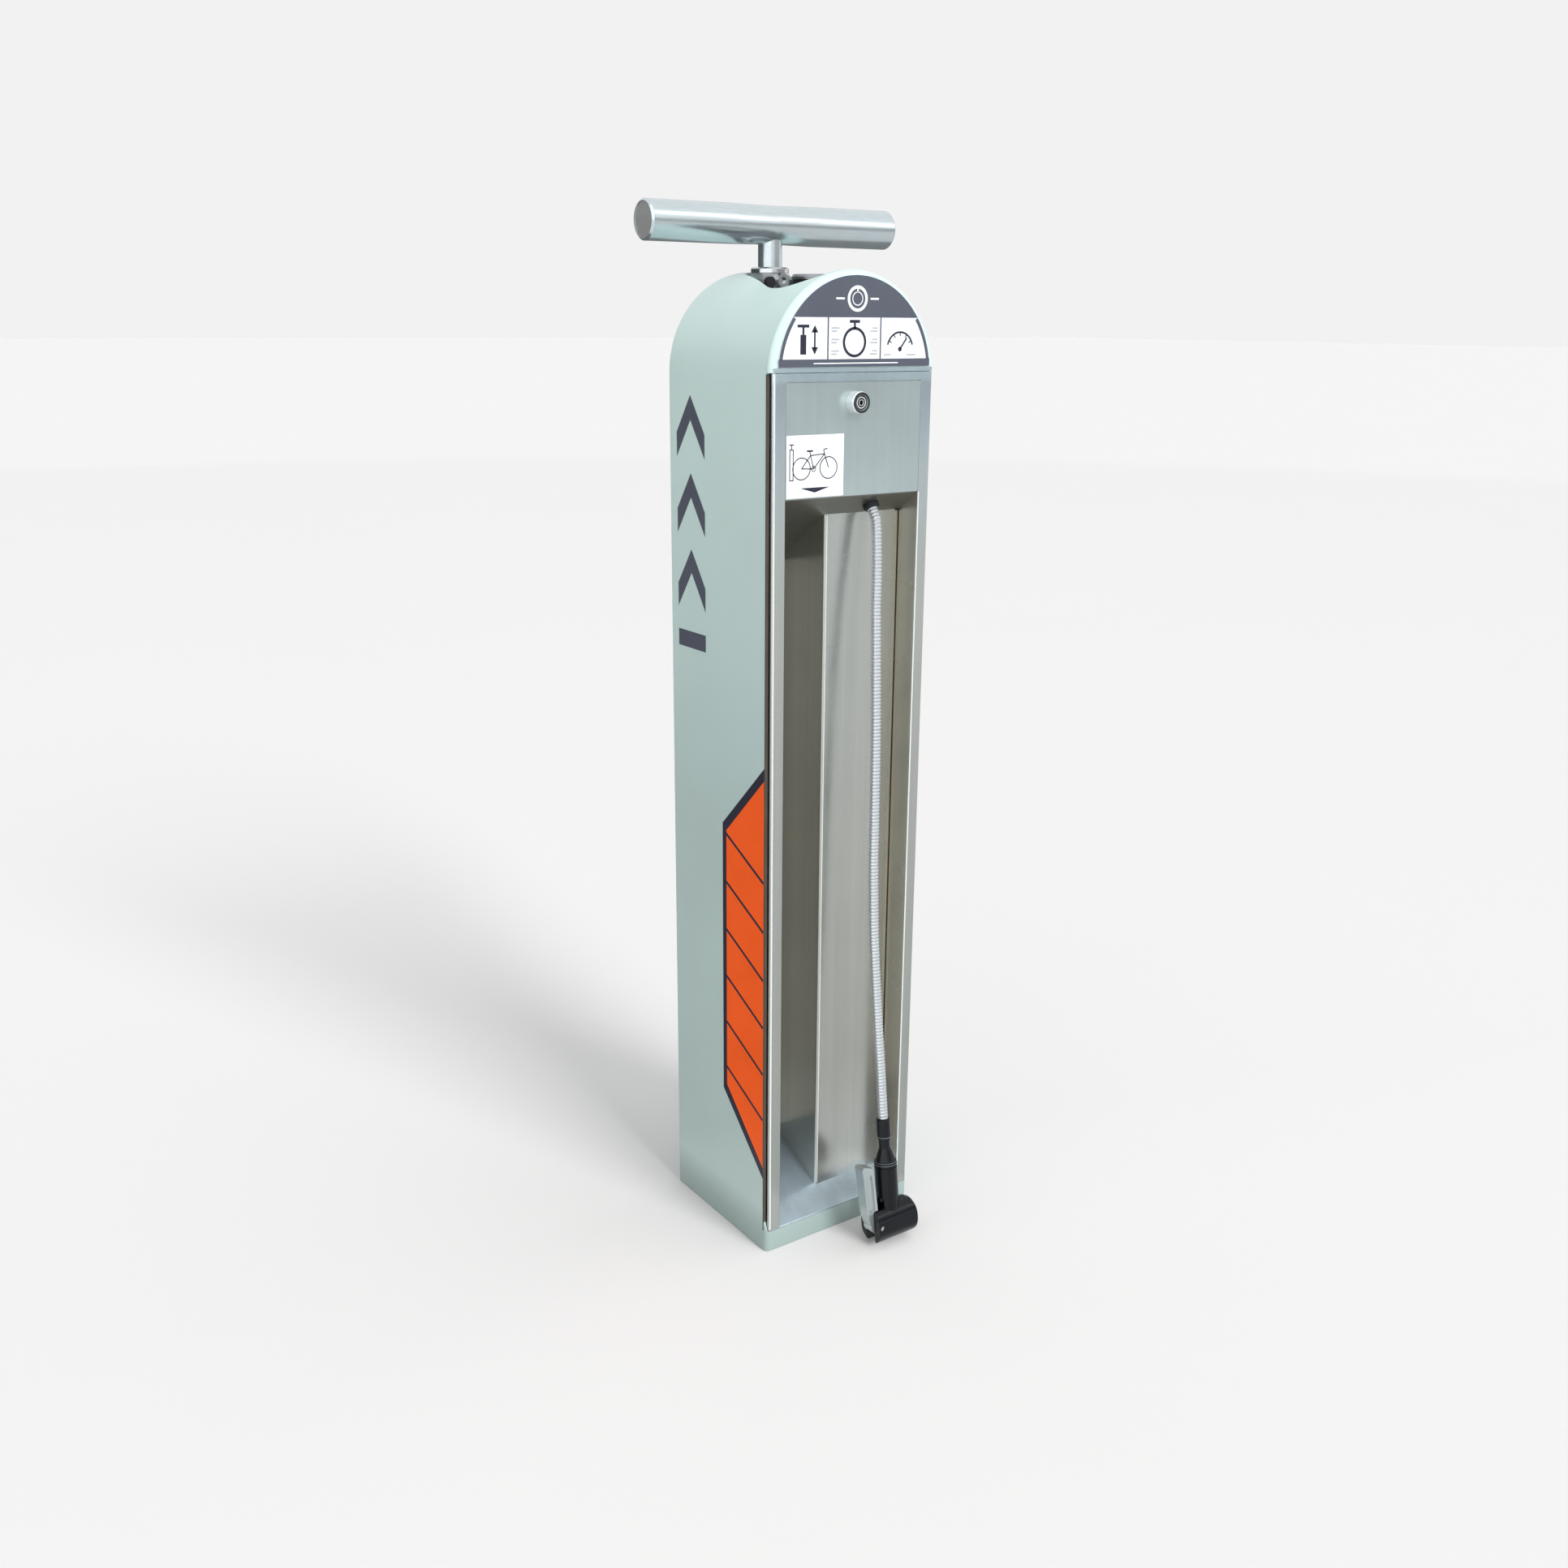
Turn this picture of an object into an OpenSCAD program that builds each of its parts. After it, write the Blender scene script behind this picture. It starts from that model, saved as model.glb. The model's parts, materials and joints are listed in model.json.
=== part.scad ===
// Public bicycle pump column: arch-topped steel body, stainless service door with a wheel slot and a hose niche.
// +X is to the right along the front, -Y is the front, +Z is up; the origin is the centre of the footprint.

/* [Body] */
// Width of the body
body_w = 180; // [170:1:200]
// Depth of the body, front plane to back plane
body_d = 164; // [160:1:190]
// Height of the centre of the arch
arch_z = 842; // [800:1:900]
// Sheet thickness of the body
wall = 3; // [2:0.5:4]
// Radius of the folded front edges, and how far the side walls stop behind the door
edge_r = 5.5; // [5:0.5:7]
// Height of the lip under the door
lip_h = 21.5; // [16:0.5:30]
// Depth of the folded flange on top of the lip
lip_flange = 16; // [10:1:24]
// Height over which the side walls run out at the lip
notch_rise = 13; // [8:1:20]
// Thickness of the base plate
base_t = 5; // [4:1:8]
// Spacing of the anchor holes across the body
anchor_x = 120; // [100:5:130]
// Spacing of the anchor holes from front to back
anchor_y = 100; // [80:5:110]
// Diameter of the anchor holes
anchor_d = 11; // [9:0.5:13]

/* [Front cap and sign] */
// Height of the front cap's lower edge above the arch centre
cap_rise = 5; // [3:1:10]
// Depth of the header plate behind the front
header_d = 34; // [30:1:40]
// Radius of the sign plate
sign_r = 82.5; // [70:0.5:84]
// Height of the sign's arc centre above the arch centre
sign_rise = 2.8; // [0:0.2:4]
// Height of the sign's lower edge above the arch centre
sign_foot = 9.5; // [8:0.5:20]
// Thickness of the sign plate
sign_t = 1.5; // [1:0.5:3]

/* [Top opening and gauge] */
// Radius of the opening round the gauge
port_r = 51; // [44:1:52]
// Distance of the opening's centre from the front
port_y = 50; // [48:1:54]
// Radius of the opening round the rod
port_back_r = 23; // [20:1:26]
// Distance of the gauge's centre from the front
gauge_y = 52; // [50:1:56]
// Distance of the opening's front edge from the front
port_rim = 9; // [8:0.5:12]
// Thickness of the inner tray
tray_t = 3; // [2:0.5:4]
// Depth of the tray's top below the top of the arch
tray_drop = 32; // [28:1:40]
// Radius of the gauge case
gauge_r = 25; // [22:0.5:30]
// Height of the gauge case above the tray
gauge_h = 24; // [20:0.5:26]
// Wall of the gauge case
gauge_wall = 2.5; // [2:0.5:4]

/* [Door] */
// Thickness of the door's sheet
door_t = 1.5; // [1:0.5:2]
// Clearance under and over the door
door_gap = 0.5; // [0.3:0.1:1.5]
// Diameter of the rolled hinge edge
hinge_d = 5; // [4.5:0.5:5.5]
// Diameter of the hinge pins
pin_d = 3; // [2:0.5:3]
// Radial running clearance of pins and shafts
run_fit = 0.05; // [0.02:0.01:0.1]
// Width of the left stile, from the body side
stile_l = 16.5; // [14:0.5:20]
// Width of the right stile, from the body side
stile_r = 15; // [12:0.5:20]
// Height of the door's top rail
top_rail = 7.5; // [6:0.5:12]
// Depth of the door's edge returns
door_return = 5; // [4:0.5:5]
// Height of the box panel
box_h = 98.4; // [90:0.2:110]
// Depth of the box panel's returns
box_return = 11; // [8:1:11]

/* [Recess] */
// Width of the wheel slot
slot_w = 63.2; // [56:0.2:66]
// Clearance between the wheel slot's back and the pump's cylinder
slot_clear = 3.5; // [2:0.5:12]
// Depth of the hose niche behind the front
niche_d = 27.3; // [24:0.1:30]
// Slope of the recess ceiling
ceil_a = 34.4; // [30:0.2:38]
// Slope of the recess floor
floor_a = 24; // [15:1:28]
// Thickness of the liner sheets
liner_t = 1.5; // [1:0.5:2]
// Radius of the bend between slot and niche
bend_r = 2.5; // [2:0.5:4]
// Open joint at the right of the niche back
shadow_gap = 4; // [2:0.5:6]

/* [Lock] */
// Height of the lock below the top of the door
lock_drop = 25; // [22:1:28]
// Diameter of the lock housing
lock_d = 19; // [16:0.5:20]
// Projection of the lock in front of the door
lock_out = 10.5; // [6:0.5:12]
// Length of the lock housing behind the door sheet
lock_in = 16; // [14:0.5:18]
// Diameter of the lock plug
plug_d = 13; // [10:0.5:14]
// Length of the cam from the lock axis
cam_l = 22; // [19:0.5:23]
// Thickness of the cam and of the strike
cam_t = 2.5; // [2:0.5:3]

/* [Pump] */
// Distance of the pump axis from the back
pump_back = 32; // [30:1:34]
// Outer diameter of the cylinder
cyl_d = 50; // [44:1:52]
// Wall of the cylinder
cyl_wall = 2.5; // [2:0.5:4]
// Height of the cylinder's lower end
cyl_z = 400; // [380:5:450]
// Diameter of the piston rod
rod_d = 22; // [18:1:24]
// Length of the piston
piston_h = 15; // [12:1:20]
// Height of the cup seal
cup_h = 7; // [5:1:10]
// Diameter of the rod's spigot in the piston
spigot_d = 10; // [8:1:12]
// Diameter of the collar at the rod's exit
collar_d = 35; // [30:1:38]
// Height of the collar
collar_h = 5; // [4:0.5:9]

/* [Handle] */
// Length of the handle
handle_l = 268; // [240:2:320]
// Diameter of the handle tube at its ends
handle_d = 35; // [30:0.5:38]
// Diameter of the handle tube at its middle
waist_d = 33.6; // [30:0.2:35]
// Wall of the handle tube
handle_wall = 2; // [1.5:0.5:3]
// Height of the handle's axis above the top of the arch
handle_rise = 40.6; // [32:0.2:60]

/* [Hose and head] */
// Diameter of the ribbed hose
hose_d = 10; // [9:0.5:11]
// Diameter of the hose bore
hose_bore = 5; // [4:0.5:6]
// Depth of the grooves between the ribs
groove = 0.8; // [0.4:0.1:1]
// Number of ribs along the hose
ribs = 180; // [80:1:190]
// Place of the hose outlet across the front
outlet_x = 33; // [30:0.5:36]
// Distance of the hose outlet behind the front
outlet_y = 16; // [14:0.5:18]
// Projection of the hose gland under the ceiling
gland_out = 5; // [4:0.5:8]
// Diameter of the head's body
head_d = 23; // [20:0.5:24]
// Diameter of the head's cross barrel
barrel_d = 30; // [27:0.5:32]
// Length of the head's cross barrel
barrel_l = 50; // [46:0.5:56]
// Diameter of the valve mouth's bore
mouth_d = 8; // [7:0.5:9]

/* [Hidden] */
$fn = 72;
cut = 1;                          // overrun of every cut
fit = 0.3;                        // gap between pieces that stay clear of each other
seat = 0.02;                      // play of pieces that are pressed or screwed together
notch_share = 0.8;                // how far the sloped ends of the side walls reach towards the front
dome_share = 0.75;
half_w = body_w / 2;
front = -body_d / 2;
back = body_d / 2;
inner_r = half_w - wall;
side_y = front + edge_r;          // where the side walls stop behind the door
top_z = arch_z + half_w;
cap_z = arch_z + cap_rise;        // lower edge of the front cap
cap_sheet = wall;
panel_t = 2.5;                    // back panel
panel_y = back - panel_t;
tray_z = top_z - tray_drop;       // top of the inner tray
tray_rise = tray_z - arch_z;
tray_half = sqrt(pow(inner_r, 2) - pow(tray_rise, 2)) - run_fit;  // just touches the arch
port_cy = front + port_y;
gauge_cy = front + gauge_y;
screw_d = 5;
screw_head_d = 9;
screw_head_h = 2.6;
tab = 14;                         // size of the welded tabs for the back panel's screws
tab_t = 2.5;
tab_x = inner_r - tab / 2;
tab_rise_shares = [0.07, 0.51, 0.95];
back_screw_z = [for (s = tab_rise_shares) s * arch_z];

// Door
door_z0 = lip_h + door_gap;
door_z1 = cap_z - door_gap;
hinge_x = -inner_r + fit + hinge_d / 2;
hinge_y = front + hinge_d / 2;
pin_in = 12;                      // engagement of each hinge pin in the door
pin_out = 5;                      // length of each hinge pin beyond the door's gap
window_l = -half_w + stile_l;
window_r = half_w - stile_r;
door_r = inner_r - fit;           // right edge of the door
box_z1 = door_z1 - top_rail;
box_z0 = box_z1 - box_h;
liner_y = front + door_t;         // plane where the liner sheets start
slot_r = window_l + slot_w;       // visible right side of the slot
slot_back = back - pump_back - cyl_d / 2 - slot_clear - liner_t;
niche_back = front + niche_d;
floor_rise_t = liner_t / cos(floor_a);
ceil_rise_t = liner_t / cos(ceil_a);
floor_front = door_z0 + floor_rise_t;
function floor_z(y) = floor_front + (y - front) * tan(floor_a);
function ceil_z(y) = box_z0 - (y - front) * tan(ceil_a);

// Lock
lock_z = door_z1 - lock_drop;
housing_y0 = front - lock_out;
housing_y1 = front + door_t + lock_in;
lock_l = housing_y1 - housing_y0;
thread_step = 1.5;                // the housing's threaded part is this much smaller in radius
lock_edge = 1.5;
plug_step = 1;                    // the plug's face lies this deep in the housing
key_w = 2;
key_depth = 4;
tail_d = 7;
lock_nut_h = 6;
lock_nut_r = 14;
cam_gap = 0.5;
cam_y = housing_y1 + cam_gap;
cam_w = 14;
cam_nut_h = 3;
cam_nut_r = 6;
strike_gap = 1.5;                 // between the strike's blade and the cam behind it
strike_y = cam_y - strike_gap - cam_t;
strike_half = 20;
strike_drop = 11;
strike_d = 10;                    // flange under the header plate, from the blade to the front
strike_screw_y = strike_y + cam_t - strike_d / 2;

// Pump
pump_y = back - pump_back;
bore_r = cyl_d / 2 - cyl_wall;
tray_under = tray_z - tray_t;
gland_h = 4;
cyl_top = tray_under - gland_h;
foot_h = 20;
foot_rim = 12;                    // the foot's rim round the cylinder
foot_wall = 4;
foot_r = cyl_d / 2 + foot_wall;
foot_floor_t = 8;
foot_floor = cyl_z - foot_floor_t;
duct_r = 3;
buffer_t = 3;
nut_h = 8;
nut_r = 9;
stack_z = cyl_z + buffer_t + fit; // lowest point of the moving stack
piston_z = stack_z + nut_h + fit;
cup_z = piston_z + piston_h;
shoulder_z = cup_z + cup_h + fit;
ring_depth = 2;                   // grooves of the piston
cup_t = 3;
rod_wall = 2;
rod_bore_r = rod_d / 2 - rod_wall;
rod_plug = 10;                    // solid end of the rod above its shoulder
rod_bore_z = shoulder_z + rod_plug;
handle_z = top_z + handle_rise;
collar_sink = 1;
collar_z = top_z - collar_sink;
bush_wall = 2;
bush_r = rod_d / 2 + bush_wall;
neck_wall = 1.5;
gland_neck_r = bush_r + neck_wall;
gland_skirt = 14;                 // the gland's skirt over the cylinder's end
wiper_h = 3;
collar_edge = 1.5;
clamp_foot_share = 0.45;          // the clamp fills the rest of the height between tray and collar
clamp_gap = 1;
clamp_z = tray_z + clamp_foot_share * (collar_z - tray_z);
clamp_h = collar_z - clamp_gap - clamp_z;
clamp_t = 3.5;
clamp_reach = 16;
clamp_y = pump_y - clamp_reach;   // front face of the clamp's block
clamp_screw_x = 1.6;
clamp_screw_share = 0.65;
clamp_head_share = 0.39;
clamp_screw_z = clamp_z + clamp_screw_share * clamp_h;
clamp_head_r = clamp_head_share * clamp_h;
stud_gap = 2.4;                   // between the screw head and the stop beside it
stop_share = 0.53;
stop_r_share = 0.32;
stop_z = clamp_z + stop_share * clamp_h;
stop_r = stop_r_share * clamp_h;
stop_x = clamp_screw_x - clamp_head_r - stud_gap - stop_r;
stud_l = 4;                       // how far the screw head and the stop stand out
clamp_edge = 1.4;                 // the block reaches this far beyond them
clamp_x0 = stop_x - stop_r - clamp_edge;
clamp_x1 = clamp_screw_x + clamp_head_r + clamp_edge;
shank_y = pump_y - gland_neck_r - fit;
hub_l = 60;
hub_r = waist_d / 2 - handle_wall - run_fit;
plug_h = 8;
plug_sink = 1;
tube_round = 1.8;
bracket_rise = 35;
bracket_z = cyl_z + bracket_rise;
bracket_h = 20;
bracket_half = 34;
bracket_t = 3;
valve_r = 9;
valve_rim = 1;                    // the valve's hexagon stands out this much beyond its body
valve_hex_l = 12;
valve_reach = 26;
valve_x = foot_r + valve_reach;
valve_drop = 2;
valve_z = cyl_z - foot_h / 2 - valve_drop;
riser_h = 16;
riser_r = 6.5;
riser_seat = 4;
pipe_r = 4;
pipe_bend = 14;
pipe_x = valve_x;
pipe_drop = 18;
pipe_top = tray_under - pipe_drop;
stem_r = 7;
stem_h = tray_under - pipe_top + pipe_r;
stem_nut_r = 13;
stem_nut_h = 5;

// Gauge
bezel_h = 4.4;
bezel_out = 1;
bezel_lip = 2.5;                  // how far the bezel reaches over the glass
dial_depth = 12;
dial_t = 1;
dial_z = tray_z + gauge_h - dial_depth;
glass_t = 2;
glass_z = tray_z + gauge_h - glass_t;
needle_l = 17;
needle_w = 2.4;
needle_t = 0.8;
needle_lift = 2;
needle_z = dial_z + dial_t + needle_lift;
spindle_r = 1.6;

// Hose outlet: a gland square to the sloping ceiling
out_dir = [0, -sin(ceil_a), -cos(ceil_a)];
out_y = front + outlet_y;
out_point = [outlet_x, out_y, ceil_z(out_y)];
gland_r = 7.5;
gland_edge = 1.5;
gland_thread_r = 5;
gland_thread = 16;
gland_nut_h = 5;
gland_nut_r = 8.5;
elbow_drop = 12;
elbow_l = 16;
barb_r = 4;
hose_start = out_point + gland_out * out_dir;

// Head: built along its own axis, leaning forward
head_tilt = -7;
head_x = 26.5;
head_y = -117.5;
head_z = 130;
head_top = [head_x, head_y, head_z];
head_dir = [0, sin(head_tilt), -cos(head_tilt)];
boot_l = 22;
boot_r = 7;
boot_ring = 2;
boot_step = 0.6;
boot_edge = 1;
neck_l = 9.5;
neck_r = 5.8;
cone_l = 15;
cone_step = 0.8;
cone_ring = 2;
body_top = -boot_l - neck_l - cone_l;
groove_drop = 4;                  // groove round the head's body, under the cone
groove_w = 1.2;
barrel_z = -112;                  // the barrel is obround: two round ends, this far apart
barrel_rise = 7;
barrel_mid = barrel_z + barrel_rise / 2;
barrel_end_r = barrel_d / 2 + barrel_rise / 2 + fit;
barrel_x0 = -23;                  // barrel's left end, from the head's axis
barrel_x1 = barrel_x0 + barrel_l;
barrel_edge = 2;
barrel_round = 6;
barrel_round_share = 0.3;
lever_slot = 13;
lever_slot_x = 16;
lever_pin_in = 4.5;
lever_pin_rise = 4.1;
lever_pin_x = barrel_x0 + lever_pin_in;
lever_pin_z = barrel_z + lever_pin_rise;
lever_pin_r = 2.5;
lever_pin_sink = 1;
lever_boss_r = 8;
lever_w = lever_slot - 2 * fit;
lever_l = 66;
lever_web = 2;                    // depth of the pockets in the lever's sides
// the lever's outline from its pin, as shares of its length: up the back to the tip, and down the front
lever_shares = [[-0.06, -0.06], [-0.13, 0.05], [-0.17, 0.18], [-0.19, 0.36], [-0.2, 0.58], [-0.21, 0.79],
    [-0.23, 0.97], [-0.19, 1], [-0.03, 0.94], [0, 0.6], [0.02, 0.24], [0.06, 0.11]];
pocket_shares = [[-0.12, 0.2], [-0.15, 0.36], [-0.16, 0.58], [-0.16, 0.82], [-0.06, 0.84], [-0.04, 0.6],
    [-0.03, 0.26]];
mouth_r = 7;
mouth_l = 14;
mouth_ring_r = 10;
mouth_ring_t = 2.5;
mouth_taper = 1;

// Route of the hose, hand chosen from the outlet down to the boot
hose_route = concat(
    [hose_start, hose_start + hose_d * out_dir],
    [[32, -78, 697], [30.5, -81, 668], [28.5, -83.5, 638], [27.5, -86, 606], [26.5, -88.5, 572],
     [26, -90.5, 536], [25.5, -92, 500], [25, -93, 464], [24.5, -94, 428], [24, -95, 392],
     [24, -96.5, 356], [24, -98.5, 320], [24.5, -101.5, 284], [25, -105, 248], [25.5, -108.5, 213],
     [26, -112.5, 178]],
    [head_top - hose_d * head_dir, head_top]);

// Functions for the swept hose
function spline(a, b, c, d, t) =
    0.5 * (2 * b + (c - a) * t + (2 * a - 5 * b + 4 * c - d) * t * t + (3 * b - a - 3 * c + d) * t * t * t);
function route_point(p, s) =
    let (n = len(p) - 1, i = min(floor(s), n - 1), t = s - i)
    (i == 0 || i == n - 1) ? p[i] + (p[i + 1] - p[i]) * t
    : spline(p[i - 1], p[i], p[i + 1], p[i + 2], t);
function unit(v) = v / norm(v);
function tangent(p, s) =
    let (n = len(p) - 1, h = 1 / 50)
    unit(route_point(p, min(s + h, n)) - route_point(p, max(s - h, 0)));
function ring(p, s, r, sides) =
    let (t = tangent(p, s), c = route_point(p, s), u = unit([1, 0, 0] - t[0] * t), v = cross(t, u))
    [for (k = [0 : sides - 1]) c + r * (cos(360 * k / sides) * u + sin(360 * k / sides) * v)];
function joined(lists) = [for (l = lists) for (e = l) e];
function band(a, b, sides) =
    joined([for (k = [0 : sides - 1]) let (m = (k + 1) % sides)
        [[a + k, b + m, b + k], [a + k, a + m, b + m]]]);
function run_length(p, steps) =
    let (n = len(p) - 1)
    [for (i = [1 : steps]) norm(route_point(p, n * i / steps) - route_point(p, n * (i - 1) / steps))]
    * [for (i = [1 : steps]) 1];
echo(hose_length = run_length(hose_route, 200));

// Helpers
module along_y(y0, y1) {
    translate([0, y1, 0]) rotate([90, 0, 0]) linear_extrude(y1 - y0) children();
}
module along_x(x0, x1) {
    translate([x0, 0, 0]) rotate([90, 0, 90]) linear_extrude(x1 - x0) children();
}
module box(x0, x1, y0, y1, z0, z1) {
    translate([x0, y0, z0]) cube([x1 - x0, y1 - y0, z1 - z0]);
}
module rod_z(x, y, z0, z1, r) {
    translate([x, y, z0]) cylinder(r = r, h = z1 - z0);
}
module rod_y(x, z, y0, y1, r) {
    translate([x, y1, z]) rotate([90, 0, 0]) cylinder(r = r, h = y1 - y0);
}
module rod_x(y, z, x0, x1, r) {
    translate([x0, y, z]) rotate([0, 90, 0]) cylinder(r = r, h = x1 - x0);
}
module hex_y(x, z, y0, y1, r) {
    translate([x, y1, z]) rotate([90, 0, 0]) cylinder(r = r, h = y1 - y0, $fn = 6);
}
module arch(r, z0) {
    translate([-r, z0]) square([2 * r, arch_z - z0]);
    translate([0, arch_z]) circle(r);
}

// Plan of the front edge: square at the back, folded round at the two front corners
module front_plan(y1) {
    difference() {
        translate([-half_w, front]) square([body_w, y1 - front]);
        for (side = [-1, 1])
            translate([side * half_w, front]) difference() {
                square(2 * edge_r, center = true);
                translate([-side * edge_r, edge_r]) circle(edge_r);
            }
    }
}

module shell() color([0.66, 0.75, 0.73]) difference() {
    union() {
        along_y(side_y, back) difference() {
            arch(half_w, 0);
            arch(inner_r, -cut);
        }
        linear_extrude(lip_h + notch_rise) difference() {
            front_plan(side_y);
            translate([-inner_r, front + wall]) square([2 * inner_r, body_d]);
        }
        translate([0, 0, lip_h - wall]) linear_extrude(wall) front_plan(front + lip_flange);
        for (z = back_screw_z) {
            box(-inner_r - wall / 2, -inner_r + tab, panel_y - tab_t, panel_y, z - tab / 2, z + tab / 2);
            box(inner_r - tab, inner_r + wall / 2, panel_y - tab_t, panel_y, z - tab / 2, z + tab / 2);
        }
    }
    // above the lip the front is open, and the side walls run out at it along a slope
    box(-inner_r, inner_r, front - cut, side_y + cut, lip_h, lip_h + notch_rise + cut);
    along_x(-half_w - cut, half_w + cut)
        polygon([[front - cut, lip_h], [side_y - notch_share * edge_r, lip_h], [side_y, lip_h + notch_rise],
                 [front - cut, lip_h + notch_rise + cut]]);
    for (side = [-1, 1], z = back_screw_z)
        rod_y(side * tab_x, z, panel_y - tab_t - cut, panel_y + cut, screw_d / 2);
    translate([0, 0, arch_z]) linear_extrude(half_w + cut) port_plan();
    rod_z(hinge_x, hinge_y, lip_h - pin_out - fit, lip_h + cut, pin_d / 2 + seat);
}

// Opening in the top: round about the gauge, narrowing along tangents to the rod's hole
module port_plan() {
    reach = pump_y - port_cy;
    lean = asin((port_r - port_back_r) / reach);
    intersection() {
        union() {
            translate([0, port_cy]) circle(port_r);
            translate([0, pump_y]) circle(port_back_r);
            polygon([for (p = [[-1, port_cy, port_r], [1, port_cy, port_r], [1, pump_y, port_back_r],
                               [-1, pump_y, port_back_r]])
                [p[0] * (p[2] - seat) * cos(lean), p[1] + (p[2] - seat) * sin(lean)]]);
        }
        translate([-half_w, front + port_rim]) square([body_w, body_d]);
    }
}

// Pressed cap with a rounded edge, and the header plate that closes it below
module front_cap() color([0.66, 0.75, 0.73]) difference() {
    union() {
        intersection() {
            translate([0, side_y, arch_z]) rotate([90, 0, 0]) rotate_extrude() difference() {
                union() {
                    square([half_w - edge_r, edge_r]);
                    intersection() {
                        translate([half_w - edge_r, 0]) circle(edge_r);
                        translate([half_w - edge_r, 0]) square(edge_r);
                    }
                }
                square([half_w - edge_r, edge_r - cap_sheet]);
                intersection() {
                    translate([half_w - edge_r, 0]) circle(edge_r - cap_sheet);
                    translate([half_w - edge_r, 0]) square(edge_r);
                }
            }
            box(-half_w - cut, half_w + cut, front - cut, side_y + cut, cap_z, top_z + cut);
        }
        intersection() {
            translate([0, 0, cap_z]) linear_extrude(wall) front_plan(side_y);
            along_y(front, side_y) arch(half_w, 0);
        }
        intersection() {
            box(-inner_r, inner_r, front + wall, front + header_d, cap_z, cap_z + wall);
            along_y(front + wall, front + header_d) arch(inner_r - seat, 0);
        }
    }
    rod_z(hinge_x, hinge_y, cap_z - cut, cap_z + pin_out + fit, pin_d / 2 + seat);
    for (side = [-1, 1])
        rod_z(side * strike_half / 2, strike_screw_y, cap_z - cut, cap_z + wall + cut, screw_d / 2);
}

module sign_plate() color([0.95, 0.96, 0.97]) along_y(front - sign_t, front) intersection() {
    translate([0, arch_z + sign_rise]) circle(sign_r);
    translate([-sign_r, arch_z + sign_foot]) square([2 * sign_r, sign_r]);
}

module base_plate() color([0.5, 0.55, 0.55]) difference() {
    box(-inner_r, inner_r, front + wall, panel_y, 0, base_t);
    for (sx = [-1, 1], sy = [-1, 1])
        rod_z(sx * anchor_x / 2, sy * anchor_y / 2, -cut, base_t + cut, anchor_d / 2);
}

module back_panel() color([0.62, 0.7, 0.69]) along_y(panel_y, back) difference() {
    arch(inner_r - fit, fit);
    for (side = [-1, 1], z = back_screw_z)
        translate([side * tab_x, z]) circle(screw_d / 2);
}

module back_screws() color([0.7, 0.7, 0.7]) for (side = [-1, 1], z = back_screw_z)
    translate([side * tab_x, back, z]) rotate([-90, 0, 0]) difference() {
        dome_r = screw_head_d * dome_share;
        union() {
            translate([0, 0, -panel_t - 2 * tab_t]) cylinder(r = screw_d / 2 - seat, h = panel_t + 2 * tab_t);
            intersection() {
                cylinder(r = screw_head_d / 2, h = screw_head_h);
                translate([0, 0, screw_head_h - dome_r]) sphere(dome_r);
            }
        }
        translate([0, 0, screw_head_h / 2]) cylinder(r = screw_d / 3, h = screw_head_h, $fn = 6);
    }

module top_tray() color([0.35, 0.37, 0.38]) difference() {
    box(-tray_half, tray_half, side_y + fit, panel_y - fit, tray_under, tray_z);
    rod_z(0, pump_y, tray_under - cut, tray_z + cut, gland_neck_r + fit);
    rod_z(0, gauge_cy, tray_under - cut, tray_z + cut, stem_r + fit);
}

// Angle screwed under the header plate: the cam turns up behind its blade
module lock_strike() color([0.7, 0.71, 0.7]) {
    box(-strike_half, strike_half, strike_y + cam_t - strike_d, strike_y + cam_t, cap_z - cam_t, cap_z);
    box(-strike_half, strike_half, strike_y, strike_y + cam_t, cap_z - strike_drop, cap_z);
    for (side = [-1, 1])
        rod_z(side * strike_half / 2, strike_screw_y, cap_z - cam_t - screw_head_h, cap_z + wall,
            screw_d / 2 - seat);
}

module hinge_pins() color([0.75, 0.76, 0.77]) {
    rod_z(hinge_x, hinge_y, lip_h - pin_out, door_z0 + pin_in, pin_d / 2);
    rod_z(hinge_x, hinge_y, door_z1 - pin_in, cap_z + pin_out, pin_d / 2);
}

// Pressure gauge lying in the top opening
module gauge_case() color([0.13, 0.14, 0.15]) difference() {
    rod_z(0, gauge_cy, tray_z, tray_z + gauge_h, gauge_r);
    rod_z(0, gauge_cy, tray_z + gauge_wall, tray_z + gauge_h + cut, gauge_r - gauge_wall);
    rod_z(0, gauge_cy, tray_z - cut, tray_z + gauge_h, spindle_r + run_fit);
}
module gauge_bezel() color([0.55, 0.57, 0.58]) translate([0, gauge_cy, tray_z + gauge_h]) rotate_extrude()
    polygon([[gauge_r - gauge_wall - bezel_lip, 0], [gauge_r + bezel_out, 0],
             [gauge_r + bezel_out, bezel_h / 2], [gauge_r, bezel_h], [gauge_r - gauge_wall, bezel_h],
             [gauge_r - gauge_wall - bezel_lip, bezel_h / 3]]);
module gauge_glass() color([0.8, 0.9, 0.95, 0.4])
    rod_z(0, gauge_cy, glass_z, tray_z + gauge_h, gauge_r - gauge_wall - seat);
module gauge_dial() color([0.94, 0.94, 0.92]) difference() {
    rod_z(0, gauge_cy, dial_z, dial_z + dial_t, gauge_r - gauge_wall - seat);
    rod_z(0, gauge_cy, dial_z - cut, dial_z + dial_t + cut, spindle_r + run_fit);
}
module gauge_stem() color([0.75, 0.62, 0.35]) {
    rod_z(0, gauge_cy, tray_under - stem_h, tray_z, stem_r);
    translate([0, gauge_cy, tray_under - stem_nut_h]) cylinder(r = stem_nut_r, h = stem_nut_h, $fn = 6);
}
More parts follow.
